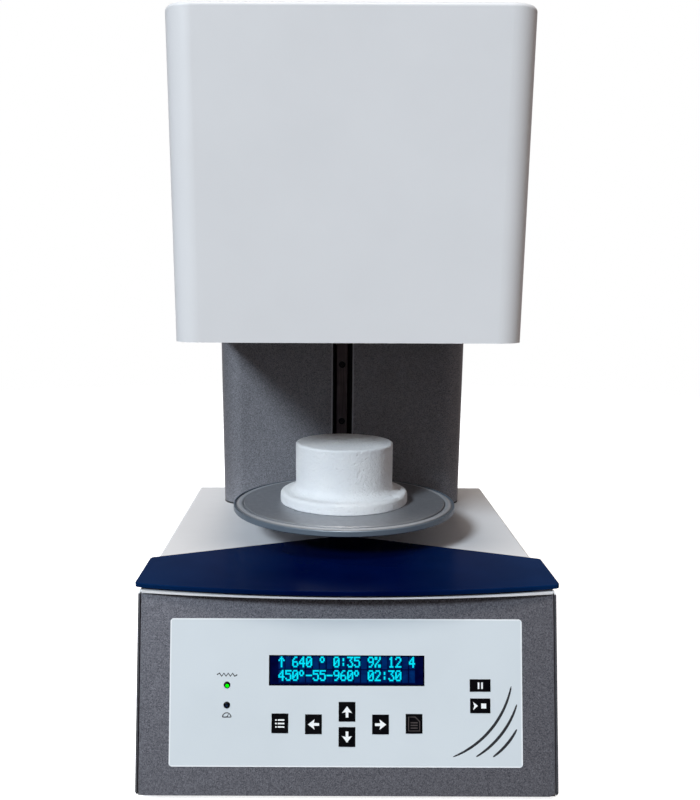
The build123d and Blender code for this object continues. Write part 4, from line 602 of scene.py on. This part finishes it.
# a written page with a cut corner on the memory key
page_width, page_height, page_fold = 8.4, 10.4, 3.4
page_edge_weight, page_line_weight, page_line_length = 0.8, 0.9, 5.4
page_rows = (0.9, -1.1, -3.1)
page_edge = [
    (-page_width / 2, -page_height / 2),
    (page_width / 2, -page_height / 2),
    (page_width / 2, page_height / 2 - page_fold),
    (page_width / 2 - page_fold, page_height / 2),
    (-page_width / 2, page_height / 2),
]
page_lines = [rectangle(0, y, page_line_length, page_line_weight) for y in page_rows]
page = stroke(page_edge, page_edge_weight, closed=True) + page_lines
drawing("key_memory_page", Face("key_memory"), page, dim_ink, "body_memory")

pause_middle, pause_width, pause_height = 1.33, 1.25, 4.9
pause_bars = [rectangle(x, 0, pause_width, pause_height) for x in (-pause_middle, pause_middle)]
drawing("key_pause_bars", Face("key_pause"), pause_bars, white_ink, "body_pause")

start_left, start_notch, start_tip, start_half = -5.6, -4.6, -1.8, 3.15
start_mark = [
    [(start_tip, 0), (start_left, start_half), (start_notch, 0)],
    [(start_tip, 0), (start_notch, 0), (start_left, -start_half)],
]
stop_x, stop_size = 2.55, 3.8
stop_mark = rectangle(stop_x, 0, stop_size, stop_size)
drawing(
    "key_start_stop_marks", Face("key_start_stop"), start_mark + [stop_mark], white_ink,
    "body_start_stop",
)

# prints on the pale film, placed from the middle of the film
film = Face("keypad_overlay")


def on_film(node, up=0.0):
    """Where a node's middle lies on the film, with a shift up the slope."""
    across = sum(reach(node, panel_across)) / 2 - (film.left + film.right) / 2
    along = sum(reach(node, panel_up)) / 2 - (film.bottom + film.top) / 2
    return across / MM, along / MM + up


# a zigzag over the heat lamp
heat_rise = 7.7
heat_x, heat_y = on_film("lamp_heat", heat_rise)
wave_step, wave_end, wave_half, wave_turns, wave_line = 1.64, 1.95, 1.15, 8, 1.0
wave_start = heat_x - (wave_turns - 1) / 2 * wave_step
zigzag = [(wave_start - wave_end, heat_y)]
zigzag += [(wave_start + i * wave_step, heat_y + wave_half * (-1) ** i) for i in range(wave_turns)]
zigzag.append((wave_start + (wave_turns - 1) * wave_step + wave_end, heat_y))
drawing("film_heat_mark", film, stroke(zigzag, wave_line), dark_ink, "root")

# a gauge with its needle under the vacuum lamp
gauge_drop = 9.0
gauge_x, gauge_y = on_film("lamp_vacuum", -gauge_drop)
gauge_radius, gauge_line, gauge_steps = 3.2, 0.75, 16
needle_x, needle_y = 1.3, 2.0
dial = [
    (gauge_x + gauge_radius * math.cos(a), gauge_y + gauge_radius * math.sin(a))
    for a in (math.pi * k / gauge_steps for k in range(gauge_steps + 1))
]
needle = [(gauge_x, gauge_y), (gauge_x + needle_x, gauge_y + needle_y)]
foot_line = [(gauge_x - gauge_radius, gauge_y), (gauge_x + gauge_radius, gauge_y)]
gauge = [plate for path in (dial, needle, foot_line) for plate in stroke(path, gauge_line)]
drawing("film_gauge_mark", film, gauge, dark_ink, "root")


def arc_through(start, mid, end, steps):
    """Points of the circle through three points, from the first to the last."""
    (ax, ay), (bx, by), (cx, cy) = start, mid, end
    d = 2 * (ax * (by - cy) + bx * (cy - ay) + cx * (ay - by))
    a2, b2, c2 = ax * ax + ay * ay, bx * bx + by * by, cx * cx + cy * cy
    ux = (a2 * (by - cy) + b2 * (cy - ay) + c2 * (ay - by)) / d
    uy = (a2 * (cx - bx) + b2 * (ax - cx) + c2 * (bx - ax)) / d
    radius = math.hypot(ax - ux, ay - uy)
    first = math.atan2(ay - uy, ax - ux)
    turn = math.atan2(cy - uy, cx - ux) - first
    turn = (turn + math.pi) % (2 * math.pi) - math.pi
    angles = (first + turn * k / steps for k in range(steps + 1))
    return [(ux + radius * math.cos(a), uy + radius * math.sin(a)) for a in angles]


# three tapered curves that sweep in from the film's right edge, placed from its lower right corner
corner_x, corner_y = film.width / 2, -film.tall / 2
sweeps = [
    ((-8.4, 61.0), (-24.4, 28.2), (-52.8, 8.0)),
    ((-4.2, 47.4), (-16.5, 24.5), (-35.5, 8.0)),
    ((-4.4, 28.8), (-12.4, 17.1), (-22.6, 8.0)),
]
sweep_tip, sweep_swell, sweep_fullness = 0.4, 1.75, 0.35
sweep_steps = 40
taper = [
    sweep_tip + sweep_swell * math.sin(math.pi * k / sweep_steps) ** sweep_fullness
    for k in range(sweep_steps + 1)
]
for number, ends in enumerate(sweeps, 1):
    curve = arc_through(*[(corner_x + x, corner_y + y) for x, y in ends], steps=sweep_steps)
    drawing(f"film_sweep_{number}", film, stroke(curve, taper), dark_ink, "root")


# ---------------------------------------------------------------- the dot display

window = Face("display_window")
field_width, field_height = 116.4, 20.9
cell_columns, cell_rows = 20, 2
cell_dots_x, cell_dots_y = 5, 8
dot_pitch_x, dot_pitch_y = 0.872, 1.165
cell_pitch_x, cell_pitch_y = dot_pitch_x * (cell_dots_x + 1), dot_pitch_y * (cell_dots_y + 0.75)
dot_width, dot_height = 1.3, 1.2
text_left, text_top = -51.85, 10.45

# the characters of the readout, each seven rows of five dots from the top
glyphs = {
    "0": ".###. #...# #..## #.#.# ##..# #...# .###.",
    "1": "..#.. .##.. ..#.. ..#.. ..#.. ..#.. .###.",
    "2": ".###. #...# ....# ...#. ..#.. .#... #####",
    "3": "##### ...#. ..#.. ...#. ....# #...# .###.",
    "4": "...#. ..##. .#.#. #..#. ##### ...#. ...#.",
    "5": "##### #.... ####. ....# ....# #...# .###.",
    "6": "..##. .#... #.... ####. #...# #...# .###.",
    "9": ".###. #...# #...# .#### ....# ...#. .##..",
    ":": "..... ..#.. ..#.. ..... ..#.. ..#.. .....",
    "o": ".##.. #..#. #..#. .##.. ..... ..... .....",
    "%": "##..# ##..# ...#. ..#.. .#... #..## #..##",
    "^": "..#.. .###. #.#.# ..#.. ..#.. ..#.. ..#..",
    "-": "..... ..... ..... ##### ..... ..... .....",
}
readout = ("^ 640 o 0:35 9% 12 4", "450o-55-960o 02:30  ")

cell_width, cell_height = cell_dots_x * dot_pitch_x, cell_dots_y * dot_pitch_y
cell_plates, dot_plates = [], []
for row in range(cell_rows):
    for column in range(cell_columns):
        x, y = text_left + column * cell_pitch_x, text_top - row * cell_pitch_y
        cell_plates.append(rectangle(x + cell_width / 2, y - cell_height / 2, cell_width, cell_height))
        for line, dots in enumerate(glyphs.get(readout[row][column], "").split()):
            for across, dot in enumerate(dots):
                if dot == "#":
                    dot_plates.append(rectangle(
                        x + (across + 0.5) * dot_pitch_x, y - (line + 0.5) * dot_pitch_y,
                        dot_width, dot_height,
                    ))

field = glowing("navy_display_field", tint(0, 2, 38), tint(0, 7, 54))
cell_glow = glowing("faint_display_cells", tint(0, 24, 78), tint(0, 44, 104))
dot_glow = glowing("cyan_display_dots", tint(0, 214, 245), tint(10, 236, 255))
field_plate = rectangle(0, 0, field_width, field_height)
drawing("display_field", window, [field_plate], field, "root")
drawing("display_cells", window, cell_plates, cell_glow, "root", base=0.02, top=0.06)
drawing("display_dots", window, dot_plates, dot_glow, "root", base=0.05, top=0.12)


# ---------------------------------------------------------------- the fibre firing table

table_low, table_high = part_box("firing_table")
brim_radius = table_high.x
crown_radius = 44.4 * MM
brim_height = 10.5 * MM
foot_edge = 0.8 * MM
brim_edge = 3.6 * MM
crown_edge = 2.2 * MM
neck_fillet = 7.6 * MM
wall_step = 0.9 * MM
table_turns = 300
table_seed = Vector((3.7, 1.9, 8.2))


def bend(radius, centre_r, centre_z, start, end, steps=7):
    """Points of an arc in the lathe outline, angles in degrees from outwards, anticlockwise."""
    angles = (math.radians(start + (end - start) * k / steps) for k in range(steps + 1))
    return [(centre_r + radius * math.cos(a), centre_z + radius * math.sin(a)) for a in angles]


def table_outline():
    """From the middle of the underside, out over the brim, up the crown and in to the middle of the top."""
    low, high, brim_top = table_low.z, table_high.z, table_low.z + brim_height
    corners = [(0.0, low)]
    corners += bend(foot_edge, brim_radius - foot_edge, low + foot_edge, -90, 0)
    corners += bend(brim_edge, brim_radius - brim_edge, brim_top - brim_edge, 0, 90)
    corners += bend(neck_fillet, crown_radius + neck_fillet, brim_top + neck_fillet, 270, 180)
    corners += bend(crown_edge, crown_radius - crown_edge, high - crown_edge, 0, 90)
    corners.append((0.0, high))
    outline = [corners[0]]
    for (r0, z0), (r1, z1) in zip(corners, corners[1:]):
        parts = max(1, round(math.hypot(r1 - r0, z1 - z0) / wall_step))
        shares = (k / parts for k in range(1, parts + 1))
        outline += [(r0 + (r1 - r0) * share, z0 + (z1 - z0) * share) for share in shares]
    return outline


# how deep the wear goes, how large its patches are, and by how much it is shifted from even
uneven_depth, uneven_size = 0.16 * MM, 9 * MM
pit_depth, pit_size, pit_shift = 0.42 * MM, 1.7 * MM, 0.1
scrape_depth, scrape_across, scrape_along, scrape_through = 0.3 * MM, 1.5 * MM, 5 * MM, 4 * MM

# knocks: degrees round the table from its front, then height, radius and depth in millimetres, and how
# much wider than tall; each fades out from its middle and ends at knock_reach times its radius
knock_reach, knock_fall = 2, 2.2
knocks = [
    (-39.7, 224.2, 1.0, 0.5, 3.4),
    (-2.8, 226.5, 1.1, 0.5, 1.6),
    (23.0, 211.5, 1.2, 0.6, 1.0),
    (59.0, 200.2, 1.9, 0.9, 1.4),
    (-21.0, 201.0, 1.1, 0.4, 2.2),
    (148.0, 217.0, 1.4, 0.6, 1.5),
    (-131.0, 231.0, 1.0, 0.5, 2.4),
    (102.0, 243.0, 1.5, 0.6, 1.3),
]


def worn(r, z, angle):
    """How far the fibre has lost its skin at a place: broad unevenness, pits, slanting scrapes and knocks."""
    place = Vector((r * math.sin(angle), -r * math.cos(angle), z))
    uneven = uneven_depth * (noise.noise(place / uneven_size + table_seed) + 1) / 2
    pitted = pit_depth * max(0.0, noise.noise(place / pit_size + table_seed) + pit_shift)
    slanting = Vector(((place.x - z) / scrape_across, place.y / scrape_through, (place.x + z) / scrape_along))
    scraped = scrape_depth * (noise.noise(slanting + table_seed) + 1) / 2
    lost = uneven + pitted + scraped
    for degrees, height, size, depth, wide in knocks:
        away = (angle - math.radians(degrees) + math.pi) % (2 * math.pi) - math.pi
        spread = math.hypot(away * r / (size * wide * MM), (z - height * MM) / (size * MM))
        if spread < knock_reach:
            lost += depth * MM * math.exp(-knock_fall * spread * spread)
    return lost


def firing_table():
    """The outline turned round its axis, each place set in by its wear."""
    outline = table_outline()
    mesh = bmesh.new()
    rings = []
    for i, (r, z) in enumerate(outline):
        if r == 0:
            rings.append([mesh.verts.new((0, 0, z - (worn(0, z, 0) if i else 0)))])
            continue
        before, after = outline[i - 1], outline[i + 1]
        out = Vector((after[1] - before[1], before[0] - after[0])).normalized()
        ring = []
        for k in range(table_turns):
            angle = 2 * math.pi * k / table_turns
            loss = worn(r, z, angle) if z > table_low.z else 0
            radius, height = r - out.x * loss, z - out.y * loss
            ring.append(mesh.verts.new((radius * math.sin(angle), -radius * math.cos(angle), height)))
        rings.append(ring)
    for lower, upper in zip(rings, rings[1:]):
        for k in range(table_turns):
            j = (k + 1) % table_turns
            if len(lower) == 1:
                mesh.faces.new((lower[0], upper[j], upper[k]))
            elif len(upper) == 1:
                mesh.faces.new((lower[k], lower[j], upper[0]))
            else:
                mesh.faces.new((lower[k], lower[j], upper[j], upper[k]))
    for face in mesh.faces:
        face.smooth = True
    made = piece("fibre_table", mesh, finishes["table_ceramic"])
    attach(made, "lift")
    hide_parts("firing_table")


firing_table()


# ---------------------------------------------------------------- floor, light and camera

floor_radius = 3.0
floor_fade = (1.3, 2.6)
floor_glow = 0.75

bpy.ops.mesh.primitive_circle_add(vertices=128, radius=floor_radius, fill_type="NGON")
floor = bpy.context.object
floor.name = "pale_floor"
floor.visible_diffuse = False
floor.visible_glossy = False
ground = Finish("pale_floor", tint(236, 238, 241), 0.8, Emission_Strength=floor_glow)
ground.shader.inputs["Emission Color"].default_value = tint(255, 255, 255)
ground.colour(ground.shades(
    ground.grain(300 * MM, detail=3.0), tint(234, 236, 240), tint(239, 240, 243)
))
ground.feed(ground.shader.inputs["Alpha"], ground.span(
    ground.from_axis((0, 0, 0), sideways, backwards), 1.0, 0.0, *floor_fade
))
floor.data.materials.append(ground.material)


def sun(name, travel, strength, spread, colour):
    """A distant soft light whose rays travel along a direction, its disc spread degrees across."""
    made = bpy.data.objects.new(name, bpy.data.lights.new(name, "SUN"))
    made.data.energy = strength
    made.data.angle = math.radians(spread)
    made.data.color = colour
    made.rotation_mode = "QUATERNION"
    made.rotation_quaternion = Vector(travel).to_track_quat("-Z", "Y")
    bpy.context.scene.collection.objects.link(made)


sun("key_light", travel=(0.7, 1.0, -0.8), strength=2.72, spread=13, colour=(0.8, 0.9, 0.98))
sun("ceiling_light", travel=(0.05, 0.33, -0.94), strength=1.55, spread=20, colour=(1.0, 0.93, 0.85))


def studio_world():
    """Soft surroundings: a little light from every side, fading round; the backdrop itself is white."""
    room_colour, backdrop_colour = (1.0, 0.88, 0.84, 1.0), (1.0, 1.0, 1.0, 1.0)
    even_glow = 0.015
    world = bpy.data.worlds.new("studio")
    world.use_nodes = True
    graph = Graph(world.node_tree)
    way = graph.add("SeparateXYZ", Vector=graph.add("TexCoord").outputs["Generated"]).outputs
    front = graph.span(way["Y"], 0.075, 0.0, -0.7, 0.3)
    left = graph.span(way["X"], 0.05, 0.0, -0.9, 0.1)
    right = graph.span(way["X"], 0.0, 0.16, 0.3, 0.95)
    low = graph.span(way["Z"], 1.0, 0.0, 0.15, 0.4)
    behind = graph.maths("MULTIPLY", graph.span(way["Y"], 0.0, 0.5, 0.3, 0.9), low)
    above = graph.span(way["Z"], 0.0, 0.1, 0.1, 0.8)
    glow = even_glow
    for side in (front, left, right, behind, above):
        glow = graph.maths("ADD", side, glow)
    room = world.node_tree.nodes["Background"]
    room.inputs["Color"].default_value = room_colour
    graph.feed(room.inputs["Strength"], glow)
    backdrop = graph.add("Background", Color=backdrop_colour)
    either = graph.add("MixShader", Fac=graph.add("LightPath").outputs["Is Camera Ray"])
    graph.feed(either.inputs[1], room.outputs[0])
    graph.feed(either.inputs[2], backdrop.outputs[0])
    graph.feed(world.node_tree.nodes["World Output"].inputs["Surface"], either.outputs[0])
    bpy.context.scene.world = world


studio_world()

photo_width, photo_height = 700, 800
focal_pixels = 886.8
principal_x, principal_y = 326.4, 490.25
camera_place = Vector((-0.0169, -0.79624, 0.38936))
camera_pitch = math.radians(13.442)
camera_yaw = math.radians(0.052)
camera_roll = math.radians(0.232)

lens = bpy.data.cameras.new("photo_camera")
lens.sensor_width = 36
lens.lens = lens.sensor_width * focal_pixels / photo_height
lens.shift_x = (photo_width / 2 - principal_x) / photo_height
lens.shift_y = (principal_y - photo_height / 2) / photo_height
camera = bpy.data.objects.new("photo_camera", lens)
camera.matrix_world = (
    Matrix.Translation(camera_place)
    @ Matrix.Rotation(-camera_yaw, 4, "Z")
    @ Matrix.Rotation(math.pi / 2 - camera_pitch, 4, "X")
    @ Matrix.Rotation(camera_roll, 4, "Z")
)
bpy.context.scene.collection.objects.link(camera)
bpy.context.scene.camera = camera
bpy.context.scene.view_settings.view_transform = "Standard"
